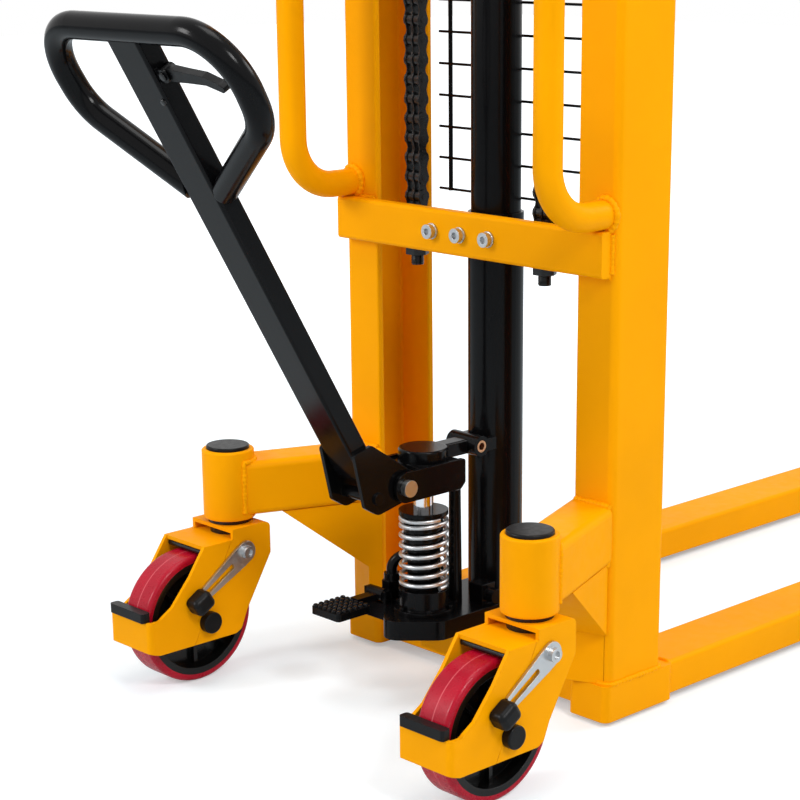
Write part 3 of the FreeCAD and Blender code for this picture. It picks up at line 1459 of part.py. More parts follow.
def all_nodes():
    """Every node of the part by name, in the building frame."""
    chain_end = sheave_z - seat_gap
    nodes = {
        "mast_left": mirrored(mast()),
        "mast_right": mast(),
        "mast_cross_bars": cross_bars(),
        "crossbar_screws": crossbar_screws(),
        "push_handles": both_sides(push_handle()),
        "base_frame": base_frame(),
        "support_legs": both_sides(support_leg()),
        "leg_roller_left": mirrored(leg_roller()),
        "leg_roller_right": leg_roller(),
        "caster_arms": both_sides(caster_arm()),
        "arm_gussets": both_sides(arm_gusset()),
        "caster_housings": both_sides(caster_housing()),
        "housing_caps": both_sides(housing_cap()),
        "mesh_guard": mesh_guard(),
        "pump_base": pump_base(),
        "pump_barrel": pump_barrel(),
        "oil_reservoir": oil_reservoir(),
        "lift_cylinder": lift_cylinder(),
        "oil_pipe": oil_pipe(),
        "chain_anchors": both_sides(chain_anchor()),
        "chain_rear": both_sides(chain_strand(chain_y, chain_start, chain_end)),
        "chain_wrap": both_sides(chain_wrap()),
        "chain_front": both_sides(chain_strand(front_chain_y, lug_base + lug_height, chain_end)),
        "rocker_pin": rocker_pin(),
        "ram_rod": ram_rod(),
        "crosshead": crosshead(),
        "sheaves": both_sides(sheave()),
        "carriage_frame": carriage_frame(),
        "load_fork_left": mirrored(load_fork()),
        "load_fork_right": load_fork(),
        "roller_pins": Part.Compound([both_sides(roller_pin(rise)) for rise in (roller_low, roller_high)]),
        "carriage_rollers_lower": both_sides(carriage_roller(roller_low)),
        "carriage_rollers_upper": both_sides(carriage_roller(roller_high)),
        "tiller_tube": tiller_tube(),
        "tiller_grip": tiller_grip(),
        "rocker": rocker(),
        "rocker_bolt": rocker_bolt(),
        "finger_lever": finger_lever(),
        "plunger": plunger(),
        "spring_collar": spring_collar(),
        "pump_spring": pump_spring(),
        "release_pedal": release_pedal(),
    }
    makers = {"fork": caster_fork, "brake_frame": brake_frame, "stem": caster_stem, "axle": caster_axle,
              "pads": caster_pads, "tyre": caster_tyre, "hub": caster_hub, "brake_lever": brake_lever,
              "brake_knob": brake_knob}
    for name, make in makers.items():
        shape = make()
        nodes["caster_left_" + name] = caster_at(shape, -1)
        nodes["caster_right_" + name] = caster_at(shape, 1)
    return nodes


def write_parts():
    """Export each node with the origin on the floor under the middle of the part."""
    os.makedirs("parts", exist_ok=True)
    for name, shape in all_nodes().items():
        shape.translate(V(0, -y_middle, 0))
        shape.exportStep("parts/" + name + ".step")
    print("least gap of the spring to itself", round(spring_self_gap(), 2))


write_parts()
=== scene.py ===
import json
import math
from collections import namedtuple

import bmesh
import bpy
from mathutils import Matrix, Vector


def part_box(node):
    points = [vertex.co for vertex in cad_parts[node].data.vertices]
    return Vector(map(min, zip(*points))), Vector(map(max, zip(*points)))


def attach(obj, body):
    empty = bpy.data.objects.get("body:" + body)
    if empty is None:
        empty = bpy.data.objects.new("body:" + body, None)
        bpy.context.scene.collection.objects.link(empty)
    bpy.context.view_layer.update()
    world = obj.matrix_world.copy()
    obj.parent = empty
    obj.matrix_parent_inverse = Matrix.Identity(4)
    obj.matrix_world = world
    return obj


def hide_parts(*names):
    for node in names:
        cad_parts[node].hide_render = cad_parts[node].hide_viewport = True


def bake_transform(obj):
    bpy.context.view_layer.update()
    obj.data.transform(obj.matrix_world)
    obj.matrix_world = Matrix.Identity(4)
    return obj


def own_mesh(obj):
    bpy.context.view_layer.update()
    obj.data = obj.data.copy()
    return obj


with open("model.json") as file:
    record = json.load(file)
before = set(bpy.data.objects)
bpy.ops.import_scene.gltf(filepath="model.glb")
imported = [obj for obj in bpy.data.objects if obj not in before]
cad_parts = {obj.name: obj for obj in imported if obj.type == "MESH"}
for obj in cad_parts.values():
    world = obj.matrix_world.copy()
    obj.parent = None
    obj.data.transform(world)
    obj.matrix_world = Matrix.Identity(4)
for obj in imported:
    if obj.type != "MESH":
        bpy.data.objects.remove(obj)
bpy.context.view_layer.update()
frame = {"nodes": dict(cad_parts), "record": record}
nodes = frame["nodes"]


# Places of the solids, in metres, in the shared frame
def middle(node):
    """Middle of a node's box."""
    low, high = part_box(node)
    return (low + high)/2


MAST_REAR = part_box("mast_right")[0].y
MAST_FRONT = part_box("mast_right")[1].y
MAST_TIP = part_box("mast_right")[0].x
MAST_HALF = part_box("mast_right")[1].x
LEG_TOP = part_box("support_legs")[1].z
FOOT_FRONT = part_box("support_legs")[0].y
CASTER = middle("caster_right_stem")
CHAIN_HALF = 0.015
CHAIN_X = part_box("chain_rear")[1].x - CHAIN_HALF
CHAIN_REAR_Y = middle("chain_rear").y
CHAIN_FRONT_Y = middle("chain_front").y
CHAIN_PITCH = 0.0254
SHEAVE = middle("sheaves")
CHAIN_RADIUS = 0.031
PUMP_Y = middle("pump_barrel").y
SIDES = (-1, 1)
ACROSS = Vector((1, 0, 0))
AHEAD = Vector((0, 1, 0))
UP = Vector((0, 0, 1))

# Kinds of finish, where drift and patches are each the scale and detail of a noise
Kind = namedtuple("Kind", "drift stops shades patches wear metal")
PAINT = Kind((5.0, 4.0), (0.3, 0.7), (0.93, 1.04), (60.0, 4.0), (0.85, 1.2), 0.0)
MOULDING = Kind((30.0, 5.0), (0.3, 0.7), (0.85, 1.15), (150.0, 3.0), (0.85, 1.15), 0.0)
METAL = Kind((40.0, 5.0), (0.25, 0.75), (0.93, 1.03), (220.0, 4.0), (0.85, 1.2), 1.0)
TYRE = Kind((26.0, 5.0), (0.3, 0.7), (0.86, 1.12), (120.0, 3.0), (0.85, 1.2), 0.0)
NOISE_SPAN = (0.3, 0.7)
RELIEF_DETAIL = 2.0
EDGE_SAMPLES = 4
PARTING_HALF = 0.0007
PARTING_COLOR = (0.62, 0.10, 0.12, 1)


def new_material(name, color, rough, metal, gloss):
    """A principled material and the pieces of its tree that the detail functions use."""
    mat = bpy.data.materials.new(name)
    mat.use_nodes = True
    tree = mat.node_tree
    shader = tree.nodes["Principled BSDF"]
    shader.inputs["Base Color"].default_value = (*color, 1)
    shader.inputs["Roughness"].default_value = rough
    shader.inputs["Metallic"].default_value = metal
    shader.inputs["Specular IOR Level"].default_value = gloss
    place = tree.nodes.new("ShaderNodeTexCoord")
    return mat, tree, shader, place.outputs["Object"]


def noise(tree, place, scale, detail):
    """Noise over the object's own coordinates."""
    node = tree.nodes.new("ShaderNodeTexNoise")
    node.inputs["Scale"].default_value = scale
    node.inputs["Detail"].default_value = detail
    tree.links.new(place, node.inputs["Vector"])
    return node.outputs["Fac"]


def map_range(tree, value, given, wanted):
    """Map a value from one range to another."""
    node = tree.nodes.new("ShaderNodeMapRange")
    for socket, number in zip(("From Min", "From Max", "To Min", "To Max"), (*given, *wanted)):
        node.inputs[socket].default_value = number
    tree.links.new(value, node.inputs["Value"])
    return node.outputs["Result"]


def combine(tree, operation, first, second):
    """Math node on a socket and either another socket or a number."""
    node = tree.nodes.new("ShaderNodeMath")
    node.operation = operation
    tree.links.new(first, node.inputs[0])
    if isinstance(second, bpy.types.NodeSocket):
        tree.links.new(second, node.inputs[1])
    else:
        node.inputs[1].default_value = second
    return node.outputs["Value"]


def shaded(tree, place, color, kind):
    """The colour, drifting between the kind's two shades."""
    node = tree.nodes.new("ShaderNodeValToRGB")
    for element, at, shade in zip(node.color_ramp.elements, kind.stops, kind.shades):
        element.position = at
        element.color = (*(min(1, c*shade) for c in color), 1)
    tree.links.new(noise(tree, place, *kind.drift), node.inputs["Fac"])
    return node.outputs["Color"]


def bump(tree, shader, value, height, edge):
    """Surface relief, over rounded edges where an edge radius is given."""
    node = tree.nodes.new("ShaderNodeBump")
    node.inputs["Strength"].default_value = 1.0
    node.inputs["Distance"].default_value = height
    tree.links.new(value, node.inputs["Height"])
    if edge:
        soft = tree.nodes.new("ShaderNodeBevel")
        soft.samples = EDGE_SAMPLES
        soft.inputs["Radius"].default_value = edge
        tree.links.new(soft.outputs["Normal"], node.inputs["Normal"])
    tree.links.new(node.outputs["Normal"], shader.inputs["Normal"])


def finished(kind, name, color, rough, gloss, grain, height, edge):
    """Material with drifting colour, dull patches, a fine relief and softened edges."""
    mat, tree, shader, place = new_material(name, color, rough, kind.metal, gloss)
    tree.links.new(shaded(tree, place, color, kind), shader.inputs["Base Color"])
    patches = noise(tree, place, *kind.patches)
    tree.links.new(map_range(tree, patches, NOISE_SPAN, [rough*share for share in kind.wear]),
                   shader.inputs["Roughness"])
    bump(tree, shader, noise(tree, place, grain, RELIEF_DETAIL), height, edge)
    return mat


def add_parting_line(mat):
    """The mould's parting line round the middle of each tyre's tread."""
    tree = mat.node_tree
    base = tree.nodes["Principled BSDF"].inputs["Base Color"]
    split = tree.nodes.new("ShaderNodeSeparateXYZ")
    tree.links.new(tree.nodes.new("ShaderNodeTexCoord").outputs["Object"], split.inputs["Vector"])
    across = combine(tree, "ABSOLUTE", split.outputs["X"], 0)
    off_middle = combine(tree, "ABSOLUTE", combine(tree, "SUBTRACT", across, CASTER.x), 0)
    mix = tree.nodes.new("ShaderNodeMix")
    mix.data_type = "RGBA"
    mix.inputs["B"].default_value = PARTING_COLOR
    tree.links.new(combine(tree, "LESS_THAN", off_middle, PARTING_HALF), mix.inputs["Factor"])
    tree.links.new(base.links[0].from_socket, mix.inputs["A"])
    tree.links.new(mix.outputs["Result"], base)


# Finish of each slot: kind, name, colour, roughness, gloss, then scale and height of the relief, edge radius
FINISHES = {
    "yellow_paint": (PAINT, "yellow_powder_coat", (0.96, 0.375, 0.0), 0.42, 0.035, 420.0, 0.00006, 0.0016),
    "black_enamel": (PAINT, "black_gloss_enamel", (0.0030, 0.0030, 0.0034), 0.17, 0.11, 420.0, 0.00004,
                     0.0014),
    "black_moulding": (MOULDING, "black_satin_moulding", (0.005, 0.005, 0.0054), 0.34, 0.15, 1400.0, 0.00006,
                       0.0012),
    "chain_steel": (MOULDING, "oiled_black_steel", (0.006, 0.006, 0.0062), 0.24, 0.34, 900.0, 0.00004,
                    0.0006),
    "bright_steel": (METAL, "zinc_plated_steel", (0.55, 0.56, 0.57), 0.32, 0.5, 1200.0, 0.00003, 0.0006),
    "chrome_rod": (METAL, "chromed_rod", (0.78, 0.78, 0.80), 0.12, 0.5, 1600.0, 0.00001, 0.0004),
    "roller_steel": (METAL, "turned_steel", (0.42, 0.42, 0.43), 0.32, 0.5, 900.0, 0.00004, 0.0008),
    "bush_brass": (METAL, "bronze_bush", (0.62, 0.36, 0.20), 0.34, 0.5, 900.0, 0.00003, 0.0006),
    "roller_plastic": (MOULDING, "cream_nylon", (0.72, 0.70, 0.60), 0.42, 0.4, 700.0, 0.00005, 0.0012),
    "red_tyre": (TYRE, "red_polyurethane", (0.40, 0.002, 0.018), 0.28, 0.24, 500.0, 0.00005, 0.0),
    "wheel_iron": (MOULDING, "black_cast_hub", (0.004, 0.004, 0.004), 0.18, 0.30, 600.0, 0.00012, 0.0012),
}
finish_of = {slot: finished(*values) for slot, values in FINISHES.items()}
add_parting_line(finish_of["red_tyre"])
for part in frame["record"]["subparts"]:
    piece = nodes[part["node"]]
    piece.data.materials.clear()
    piece.data.materials.append(finish_of[part["material_slot"]])

# Mesh helpers
TINY = 1e-9
SHARP = 50


def piece_from(name, mesh, finish, body, sharp=SHARP):
    """Make an object of a finished bmesh, with its finish, riding on a body unless none is named."""
    data = bpy.data.meshes.new(name)
    bmesh.ops.recalc_face_normals(mesh, faces=mesh.faces)
    mesh.to_mesh(data)
    mesh.free()
    data.polygons.foreach_set("use_smooth", [True]*len(data.polygons))
    data.set_sharp_from_angle(angle=math.radians(sharp))
    obj = bpy.data.objects.new(name, data)
    bpy.context.scene.collection.objects.link(obj)
    data.materials.append(finish_of[finish])
    if body:
        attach(obj, body)
    return obj


def on_circle(x, y, radius, angle, z):
    """Point on a level circle about (x, y)."""
    return Vector((x + radius*math.cos(angle), y + radius*math.sin(angle), z))


def resample(points, step):
    """Points along a polyline at an even step."""
    lengths = [0.0]
    for a, b in zip(points, points[1:]):
        lengths.append(lengths[-1] + (b - a).length)
    count = max(2, round(lengths[-1]/step))
    result = []
    leg = 0
    for i in range(count + 1):
        at = lengths[-1]*i/count
        while leg < len(points) - 2 and lengths[leg + 1] < at:
            leg += 1
        share = (at - lengths[leg])/max(TINY, lengths[leg + 1] - lengths[leg])
        result.append(points[leg].lerp(points[leg + 1], min(1, share)))
    return result


def add_tube(mesh, path, radius, sides, closed=False, radius_at=None):
    """Round tube along a path, with capped ends unless it closes on itself."""
    rings = []
    normal = None
    count = len(path)
    for i, point in enumerate(path):
        back = path[i - 1] if i or closed else point
        ahead = path[(i + 1) % count] if i < count - 1 or closed else point
        way = (ahead - back).normalized()
        if normal is None:
            normal = way.orthogonal().normalized()
        normal = (normal - way*normal.dot(way)).normalized()
        other = way.cross(normal)
        size = radius*(radius_at(i) if radius_at else 1)
        rings.append([mesh.verts.new(point + (normal*math.cos(a) + other*math.sin(a))*size)
                      for a in (2*math.pi*k/sides for k in range(sides))])
    pairs = list(zip(rings, rings[1:])) + ([(rings[-1], rings[0])] if closed else [])
    for first, second in pairs:
        for k in range(sides):
            mesh.faces.new((first[k], first[(k + 1) % sides], second[(k + 1) % sides], second[k]))
    if not closed:
        mesh.faces.new(rings[0])
        mesh.faces.new(rings[-1])


def add_turned(mesh, place, way, profile, sides):
    """Turned piece on an axis, from steps of distance along it and radius there."""
    add_tube(mesh, [place + way*along for along, size in profile], 1, sides, False, lambda k: profile[k][1])


def add_prism(mesh, outline, origin, along, up, depth_way, low, high):
    """Flat plate from an outline in the plane of along and up, drawn out along depth_way."""
    first, second = ([mesh.verts.new(origin + along*a + up*b + depth_way*at) for a, b in outline]
                     for at in (low, high))
    count = len(outline)
    mesh.faces.new(first)
    mesh.faces.new(list(reversed(second)))
    for k in range(count):
        mesh.faces.new((first[k], first[(k + 1) % count], second[(k + 1) % count], second[k]))


# Roller chain
ROLLER_RADIUS = 0.0078
ROLLER_SIDES = 16
ROLLER_SPANS = ((-0.0104, -0.0024), (0.0024, 0.0104))
PIN_RADIUS = 0.0038
PIN_SIDES = 12
PIN_HALF = 0.0148
PLATE_WAIST = 0.0056
PLATE_END = 0.0096
PLATE_SWEEP = 260
PLATE_STEPS = 8
INNER_PLATES = ((0.0003, 0.0021), (0.0105, 0.0121))
OUTER_PLATES = ((0.0001, 0.0010), (0.0122, 0.0139))
LINK_SHARP = 35
RUN_END = 0.0105
WRAP_START = 20
WRAP_SWEEP = 140
WRAP_LINKS = 3


def link_outline(pitch):
    """Figure-eight outline of a chain plate from one pin to the next."""
    points = []
    for centre, start, waist in ((pitch, 0, PLATE_WAIST), (0, 180, -PLATE_WAIST)):
        for i in range(PLATE_STEPS + 1):
            a = math.radians(start - PLATE_SWEEP/2 + PLATE_SWEEP*i/PLATE_STEPS)
            points.append((centre + PLATE_END*math.cos(a), PLATE_END*math.sin(a)))
        points.append((pitch/2, waist))
    return points


def add_chain(mesh, pins, x):
    """Double roller chain through the given pin points, which lie in one upright plane."""
    for i, pin in enumerate(pins):
        centre = Vector((x, pin.y, pin.z))
        for low, high in ROLLER_SPANS:
            add_tube(mesh, [centre + ACROSS*low, centre + ACROSS*high], ROLLER_RADIUS, ROLLER_SIDES)
        add_tube(mesh, [centre - ACROSS*PIN_HALF, centre + ACROSS*PIN_HALF], PIN_RADIUS, PIN_SIDES)
        if i == len(pins) - 1:
            break
        way = pins[i + 1] - pin
        along = way.normalized()
        up = ACROSS.cross(along)
        outline = link_outline(way.length)
        for low, high in INNER_PLATES if i % 2 else OUTER_PLATES:
            add_prism(mesh, outline, centre, along, up, ACROSS, low, high)
            add_prism(mesh, outline, centre, along, up, ACROSS, -high, -low)


def chain_run(name, y, low, high):
    """The straight runs of both chains on one side of the sheaves."""
    count = max(2, round((high - low)/CHAIN_PITCH))
    step = (high - low)/count
    mesh = bmesh.new()
    for x in (-CHAIN_X, CHAIN_X):
        add_chain(mesh, [Vector((0, y, low + step*i)) for i in range(count + 1)], x)
    return piece_from(name, mesh, "chain_steel", None, LINK_SHARP)


chain_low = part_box("chain_rear")[0].z
front_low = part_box("chain_front")[0].z
chain_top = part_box("chain_rear")[1].z
rear_run = chain_run("chain_rear_links", CHAIN_REAR_Y, chain_low + RUN_END, chain_top - RUN_END)
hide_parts("chain_rear")
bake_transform(rear_run)
front_run = chain_run("chain_front_links", CHAIN_FRONT_Y, front_low + RUN_END, chain_top - RUN_END)
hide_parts("chain_front")
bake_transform(front_run)
mesh = bmesh.new()
angles = [math.radians(WRAP_START + WRAP_SWEEP*i/WRAP_LINKS) for i in range(WRAP_LINKS + 1)]
arc = [SHEAVE + Vector((0, -math.cos(a), math.sin(a)))*CHAIN_RADIUS for a in angles]
for x in (-CHAIN_X, CHAIN_X):
    add_chain(mesh, arc, x)
wrap = piece_from("chain_wrap_links", mesh, "chain_steel", "ram", LINK_SHARP)
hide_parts("chain_wrap")

# Pump spring, with its end turns closed
SPRING_WIRE = 0.0032
SPRING_RADIUS = 0.0303
SPRING_TURNS = 8
SPRING_STEPS = 32
SPRING_SIDES = 14
CLOSED_PITCH = 0.0070
spring_low, spring_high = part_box("pump_spring")
spring_rise = spring_high.z - spring_low.z - SPRING_WIRE*2
open_turns = SPRING_TURNS - 2
open_pitch = (spring_rise - CLOSED_PITCH*2)/open_turns
path = []
for i in range(SPRING_TURNS*SPRING_STEPS + 1):
    turn = i/SPRING_STEPS
    climb = CLOSED_PITCH*min(turn, 1) + open_pitch*min(max(turn - 1, 0), open_turns)
    climb += CLOSED_PITCH*max(turn - SPRING_TURNS + 1, 0)
    path.append(on_circle(0, PUMP_Y, SPRING_RADIUS, 2*math.pi*turn, spring_low.z + SPRING_WIRE + climb))
mesh = bmesh.new()
add_tube(mesh, path, SPRING_WIRE, SPRING_SIDES)
spring = piece_from("pump_return_spring", mesh, "bright_steel", "chassis")
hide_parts("pump_spring")
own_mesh(spring)

# Threads of the chain anchors under their nuts
THREAD_RADIUS = 0.0080
THREAD_PITCH = 0.0021
THREAD_TURNS = 6
THREAD_STEPS = 24
THREAD_START = 0.0009
THREAD_WIRE = 0.0008
THREAD_SIDES = 6
thread_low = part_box("chain_anchors")[0].z
mesh = bmesh.new()
for x in (-CHAIN_X, CHAIN_X):
    helix = [on_circle(x, CHAIN_REAR_Y, THREAD_RADIUS, 2*math.pi*i/THREAD_STEPS,
                       thread_low + THREAD_START + THREAD_PITCH*i/THREAD_STEPS)
             for i in range(THREAD_TURNS*THREAD_STEPS + 1)]
    add_tube(mesh, helix, THREAD_WIRE, THREAD_SIDES)
piece_from("anchor_threads", mesh, "chain_steel", "chassis")

# Wire guard with its hooks and straps
GUARD_SET = 0.092
GUARD_PITCH = 0.042
GUARD_ROWS = 29
GUARD_HALF = 0.154
ROD_RADIUS = 0.0030
ROD_SIDES = 14
ROD_X = 0.135
ROW_RADIUS = 0.0018
ROW_SIDES = 10
ROW_START = 0.0024
ROW_SET = 0.0022
HOOK_RISE = 1.278
HOOK_BEND = 0.016
HOOK_STEPS = 8
HOOK_OUTER = -0.060
HOOK_INNER = -0.012
STRAP_RADIUS = 0.0332
STRAP_START = 0.0262
STRAP_REACH = 0.020
STRAP_HEIGHT = 0.020
STRAP_STEPS = 8
STRAP_PLACES = (0.700, 1.010)
guard_y = MAST_REAR + GUARD_SET
guard_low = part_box("mesh_guard")[0].z
guard_high = guard_low + GUARD_PITCH*GUARD_ROWS + ROW_START*2
hook_z = guard_low + HOOK_RISE
bend_y = guard_y - HOOK_BEND
bend_z = hook_z - HOOK_BEND
mesh = bmesh.new()
for x in (-ROD_X, ROD_X):
    add_tube(mesh, [Vector((x, guard_y, guard_low)), Vector((x, guard_y, guard_high))], ROD_RADIUS, ROD_SIDES)
for x in (HOOK_OUTER, HOOK_INNER):
    bend = [Vector((x, bend_y + HOOK_BEND*math.cos(a), bend_z + HOOK_BEND*math.sin(a)))
            for a in (math.pi/2*k/HOOK_STEPS for k in range(HOOK_STEPS + 1))]
    add_tube(mesh, [Vector((x, guard_y, guard_low))] + bend + [Vector((x, MAST_REAR, hook_z))], ROD_RADIUS,
             ROD_SIDES)
for i in range(GUARD_ROWS + 1):
    z = guard_low + ROW_START + GUARD_PITCH*i
    ends = [Vector((x, guard_y - ROW_SET, z)) for x in (-GUARD_HALF, GUARD_HALF)]
    add_tube(mesh, ends, ROW_RADIUS, ROW_SIDES)
cylinder_y = middle("lift_cylinder").y
strap = [(HOOK_OUTER, guard_y), (HOOK_OUTER, cylinder_y + STRAP_REACH)]
for k in range(STRAP_STEPS + 1):
    x = -STRAP_START + (STRAP_START + HOOK_INNER)*k/STRAP_STEPS
    strap.append((x, cylinder_y + math.sqrt(STRAP_RADIUS**2 - x*x)))
strap.append((HOOK_INNER, guard_y))
for z in STRAP_PLACES:
    add_prism(mesh, strap, Vector((0, 0, z)), ACROSS, AHEAD, UP, 0, STRAP_HEIGHT)
guard = piece_from("wire_guard", mesh, "black_enamel", "chassis")
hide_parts("mesh_guard")

# Weld beads
BEAD_STEP = 0.0014
BEAD_SIDES = 8
BEAD_PHASE = 900
BEAD_OUT = 0.001
MAST_INSET = 0.003
MAST_CORNER = 0.006
HANDLE_X = 0.232
HANDLE_PLACES = (0.666, 1.226)
HANDLE_HALF_X = 0.0185
HANDLE_HALF_Z = 0.0195
HANDLE_OUT = 0.0012
HANDLE_STEPS = 28
ARM_PLACES = (0.297, 0.221)
ARM_X = 0.247
ARM_ROOT_X = 0.214
BAR_PLACES = (0.5895, 0.647)
FLAT_END_X = 0.241
BAR_END_X = 0.243
BAR_END_PLACES = (0.594, 0.643)
FOOT_X = 0.246
FOOT_LOW = 0.018
FOOT_CORNER = 0.004
HOUSING_RADIUS = 0.0362
HOUSING_SWEEP = 142
HOUSING_STEPS = 20
HOUSING_PLACES = (0.226, 0.290, 0.297)


def add_bead(mesh, points, radius, closed):
    """Rippled weld bead along a polyline."""
    path = resample(points + ([points[0]] if closed else []), BEAD_STEP)
    if closed:
        path = path[:-1]
    waves = ((0.12, 1.35, 0), (0.10, 0.37, 1), (0.07, 0.13, radius*BEAD_PHASE))
    add_tube(mesh, path, radius, BEAD_SIDES, closed,
             lambda i: sum((high*math.sin(i*pace + start) for high, pace, start in waves), 1))


def housing_bead():
    """Up one side of the arm's end, round the caster housing over the arm, and down the other side."""
    arm_way = Vector((CASTER.x - ARM_ROOT_X, CASTER.y - MAST_REAR, 0)).normalized()
    arm_side = Vector((-arm_way.y, arm_way.x, 0))
    low, high, top = HOUSING_PLACES
    ring = []
    for k in range(HOUSING_STEPS + 1):
        a = math.radians(-HOUSING_SWEEP/2 + HOUSING_SWEEP*k/HOUSING_STEPS)
        way = -arm_way*math.cos(a) + arm_side*math.sin(a)
        ring.append((CASTER.x + way.x*HOUSING_RADIUS, CASTER.y + way.y*HOUSING_RADIUS, top))
    first, last = ring[0][:2], ring[-1][:2]
    return [(*first, low), (*first, high)] + ring + [(*last, high), (*last, low)]


rear = MAST_REAR - BEAD_OUT
front = MAST_FRONT + BEAD_OUT
mast_near = MAST_TIP + MAST_INSET
mast_side = MAST_HALF + BEAD_OUT/2
corner_x = MAST_HALF - MAST_CORNER
foot_z = LEG_TOP + BEAD_OUT
handle_angles = [2*math.pi*k/HANDLE_STEPS for k in range(HANDLE_STEPS)]

# Each bead's radius, whether it closes on itself, and its places on the right-hand side
beads = []
for z in HANDLE_PLACES:
    ring = [(HANDLE_X + HANDLE_HALF_X*math.cos(a), rear - HANDLE_OUT, z + HANDLE_HALF_Z*math.sin(a))
            for a in handle_angles]
    beads.append((0.0046, True, ring))
beads += [(0.0044, False, [(mast_near, rear, z), (ARM_X, rear, z)]) for z in ARM_PLACES]
beads += [(0.0028, False, [(mast_near, rear, z), (FLAT_END_X, rear, z)]) for z in BAR_PLACES]
beads += [
    (0.0034, False, [(BAR_END_X, rear, z) for z in BAR_END_PLACES]),
    (0.0036, False, [(MAST_TIP + BEAD_OUT*2, rear, foot_z), (corner_x, rear, foot_z),
                     (mast_side, rear + MAST_CORNER + BEAD_OUT, foot_z),
                     (mast_side, MAST_FRONT - MAST_CORNER, foot_z),
                     (corner_x, front, foot_z), (MAST_TIP, front, foot_z)]),
    (0.0030, False, [(mast_near, FOOT_FRONT, LEG_TOP), (FLAT_END_X, FOOT_FRONT, LEG_TOP),
                     (FOOT_X, FOOT_FRONT, LEG_TOP - FOOT_CORNER), (FOOT_X, FOOT_FRONT, FOOT_LOW)]),
    (0.0036, False, housing_bead()),
]
mesh = bmesh.new()
for side in SIDES:
    for radius, closed, places in beads:
        add_bead(mesh, [Vector((side*x, y, z)) for x, y, z in places], radius, closed)
piece_from("weld_beads", mesh, "yellow_paint", "chassis")

# Studs on the release pedal
STUD_ROWS = 6
STUD_START = (0.0048, 0.0050)
STUD_PITCH = (0.00928, 0.00960)
STUD_RADIUS = 0.0038
STUD_SIDES = 14
STUD_PROFILE = ((-0.001, 1.05), (0.0016, 1.0), (0.0030, 0.82), (0.0038, 0.45))
PAD_RISE = 0.010
pedal_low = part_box("release_pedal")[0]
pad_top = pedal_low.z + PAD_RISE
profile = [(along, STUD_RADIUS*share) for along, share in STUD_PROFILE]
mesh = bmesh.new()
for i in range(STUD_ROWS):
    for j in range(STUD_ROWS):
        x = pedal_low.x + STUD_START[0] + STUD_PITCH[0]*i
        y = pedal_low.y + STUD_START[1] + STUD_PITCH[1]*j
        add_turned(mesh, Vector((x, y, pad_top)), UP, profile, STUD_SIDES)
piece_from("pedal_studs", mesh, "black_enamel", "pedal")

# Bolts round the spring cup's flange
CUP_BOLTS = 6
CUP_BOLT_START = 25
CUP_BOLT_CIRCLE = 0.0373
CUP_BOLT_SIDES = 6
CUP_BOLT_PROFILE = ((-0.001, 0.0034), (0.0034, 0.0034), (0.0042, 0.0034*0.8))
CUP_BOLT_SHARP = 20
CUP_RISE = 0.006
cup_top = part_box("pump_barrel")[0].z + CUP_RISE
mesh = bmesh.new()
for k in range(CUP_BOLTS):
    angle = math.radians(CUP_BOLT_START + 360/CUP_BOLTS*k)
    spot = on_circle(0, PUMP_Y, CUP_BOLT_CIRCLE, angle, cup_top)
    add_turned(mesh, spot, UP, CUP_BOLT_PROFILE, CUP_BOLT_SIDES)
piece_from("cup_bolts", mesh, "black_enamel", "chassis", CUP_BOLT_SHARP)

# Head of the finger lever's pin, clear of the cheek that the pin turns in, and a screw in the tiller
TILLER_LEAN = math.radians(30)
TILLER_FOOT = Vector((0, MAST_REAR - 0.216, 0.351))
TILLER_UP = Vector((0, -math.sin(TILLER_LEAN), math.cos(TILLER_LEAN)))
TILLER_OUT = Vector((0, -math.cos(TILLER_LEAN), -math.sin(TILLER_LEAN)))
PIN_END = (0.037, 0.578, 0.0085)
PIN_HEAD = ((-0.0005, 0.0035), (0.0002, 0.0035), (0.0003, 0.0054), (0.0026*0.6, 0.0054),
            (0.0026*0.85, 0.0054*0.86), (0.0026, 0.0054*0.55))
SCREW_PLACE = (0.0225, 0.548, 0.014)
SCREW_HEAD = ((-0.0024*0.3, 0.0042), (0.0024*0.55, 0.0042), (0.0024*0.85, 0.0042*0.86), (0.0024, 0.0042*0.55))
SCREW_SIDES = 18
SCREW_SHARP = 30
for name, body, (x, along, out), head in (("finger_lever_screw", "trigger", PIN_END, PIN_HEAD),
                                          ("tiller_screw", "pump_handle", SCREW_PLACE, SCREW_HEAD)):
    mesh = bmesh.new()
    add_turned(mesh, TILLER_FOOT + ACROSS*x + TILLER_UP*along + TILLER_OUT*out, TILLER_OUT, head, SCREW_SIDES)
    piece_from(name, mesh, "chain_steel", body, SCREW_SHARP)

# Floor
# Floor colour, tinted blue so the yellow light the object bounces onto the floor shows as neutral grey
FLOOR_COLOR = (0.69, 0.765, 0.81)
FLOOR_ROUGH = 0.8
FLOOR_GLOSS = 0.1
FLOOR_FADE = (1.0, 2.6)
FLOOR_GLOW = (0.34, 0.9)
FLOOR_HALF = 14
FLOOR_DROP = 0.0003


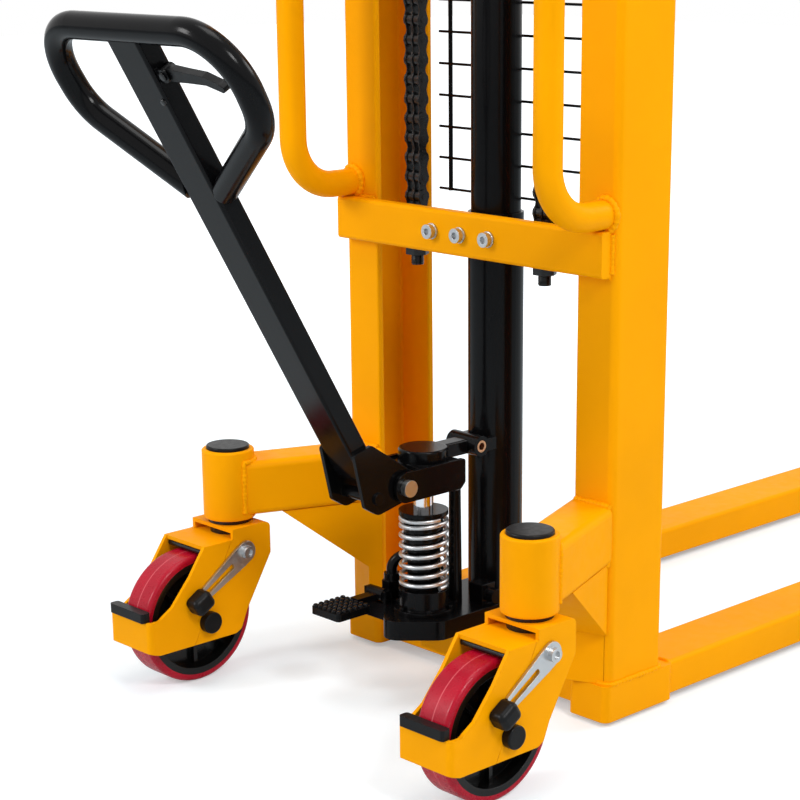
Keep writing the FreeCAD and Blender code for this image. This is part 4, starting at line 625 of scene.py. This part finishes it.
def stage_material():
    """Pale floor that fades to plain white away from the object, where only the camera sees the fade."""
    mat, tree, shader, place = new_material("pale_floor", FLOOR_COLOR, FLOOR_ROUGH, 0.0, FLOOR_GLOSS)
    away = tree.nodes.new("ShaderNodeVectorMath")
    away.operation = "LENGTH"
    tree.links.new(place, away.inputs[0])
    fade = map_range(tree, away.outputs["Value"], FLOOR_FADE, FLOOR_GLOW)
    rays = tree.nodes.new("ShaderNodeLightPath")
    glow = tree.nodes.new("ShaderNodeEmission")
    tree.links.new(combine(tree, "MULTIPLY", rays.outputs["Is Camera Ray"], fade), glow.inputs["Strength"])
    total = tree.nodes.new("ShaderNodeAddShader")
    tree.links.new(shader.outputs[0], total.inputs[0])
    tree.links.new(glow.outputs[0], total.inputs[1])
    tree.links.new(total.outputs[0], tree.nodes["Material Output"].inputs["Surface"])
    return mat


mesh = bmesh.new()
bmesh.ops.create_grid(mesh, x_segments=1, y_segments=1, size=FLOOR_HALF)
data = bpy.data.meshes.new("floor")
mesh.to_mesh(data)
mesh.free()
floor = bpy.data.objects.new("floor", data)
floor.location = (0, 0, -FLOOR_DROP)
bpy.context.scene.collection.objects.link(floor)
data.materials.append(stage_material())

# Surroundings: white to the camera and in reflections, dimmer as a light
SKY_STRENGTH = (0.53, 1.0)
world = bpy.data.worlds.new("studio")
bpy.context.scene.world = world
world.use_nodes = True
tree = world.node_tree
sky = tree.nodes["Background"]
rays = tree.nodes.new("ShaderNodeLightPath").outputs
seen = combine(tree, "MAXIMUM", rays["Is Camera Ray"], rays["Is Glossy Ray"])
either = combine(tree, "MAXIMUM", seen, rays["Is Transmission Ray"])
tree.links.new(map_range(tree, either, (0, 1), SKY_STRENGTH), sky.inputs["Strength"])
sky.inputs["Color"].default_value = (1, 1, 1, 1)


# Lamps
def area_light(name, place, target, size, power):
    """Rectangular lamp that faces its target."""
    lamp = bpy.data.lights.new(name, "AREA")
    lamp.shape = "RECTANGLE"
    lamp.size, lamp.size_y = size
    lamp.energy = power
    obj = bpy.data.objects.new(name, lamp)
    obj.location = place
    obj.rotation_euler = (Vector(target) - Vector(place)).to_track_quat("-Z", "Y").to_euler()
    bpy.context.scene.collection.objects.link(obj)


area_light("key_right", (3.2, -1.2, 3.2), (0, -0.3, 0.6), (0.9, 0.9), 68)
area_light("fill_left", (-1.6, -3.6, 2.2), (0, -0.3, 0.6), (0.9, 1.3), 64)
area_light("rim_back", (1.5, 2.4, 2.7), (0, -0.5, 0.7), (1.8, 1.0), 40)
area_light("top", (0.2, -0.4, 4.6), (0, -0.3, 0.4), (1.8, 1.8), 52)

# Camera, fitted to the photo in pixels
PHOTO_SIDE = 800
PHOTO_FOCAL = 2056
PHOTO_POINT = (476, 521)
SENSOR = 36
CAMERA_PLACE = (1.899, MAST_REAR - 1.885, 1.0165)
CAMERA_TURN = math.radians(45.12)
CAMERA_TILT = math.radians(16.42)
CAMERA_REACH = 60
camera = bpy.data.cameras.new("camera")
camera.sensor_width = SENSOR
camera.lens = PHOTO_FOCAL*SENSOR/PHOTO_SIDE
camera.shift_x = (PHOTO_SIDE/2 - PHOTO_POINT[0])/PHOTO_SIDE
camera.shift_y = (PHOTO_POINT[1] - PHOTO_SIDE/2)/PHOTO_SIDE
camera.clip_end = CAMERA_REACH
view = bpy.data.objects.new("camera", camera)
view.location = CAMERA_PLACE
aim = Vector((-math.sin(CAMERA_TURN)*math.cos(CAMERA_TILT), math.cos(CAMERA_TURN)*math.cos(CAMERA_TILT),
              -math.sin(CAMERA_TILT)))
view.rotation_euler = aim.to_track_quat("-Z", "Y").to_euler()
bpy.context.scene.collection.objects.link(view)
bpy.context.scene.camera = view
bpy.context.scene.view_settings.view_transform = "Standard"
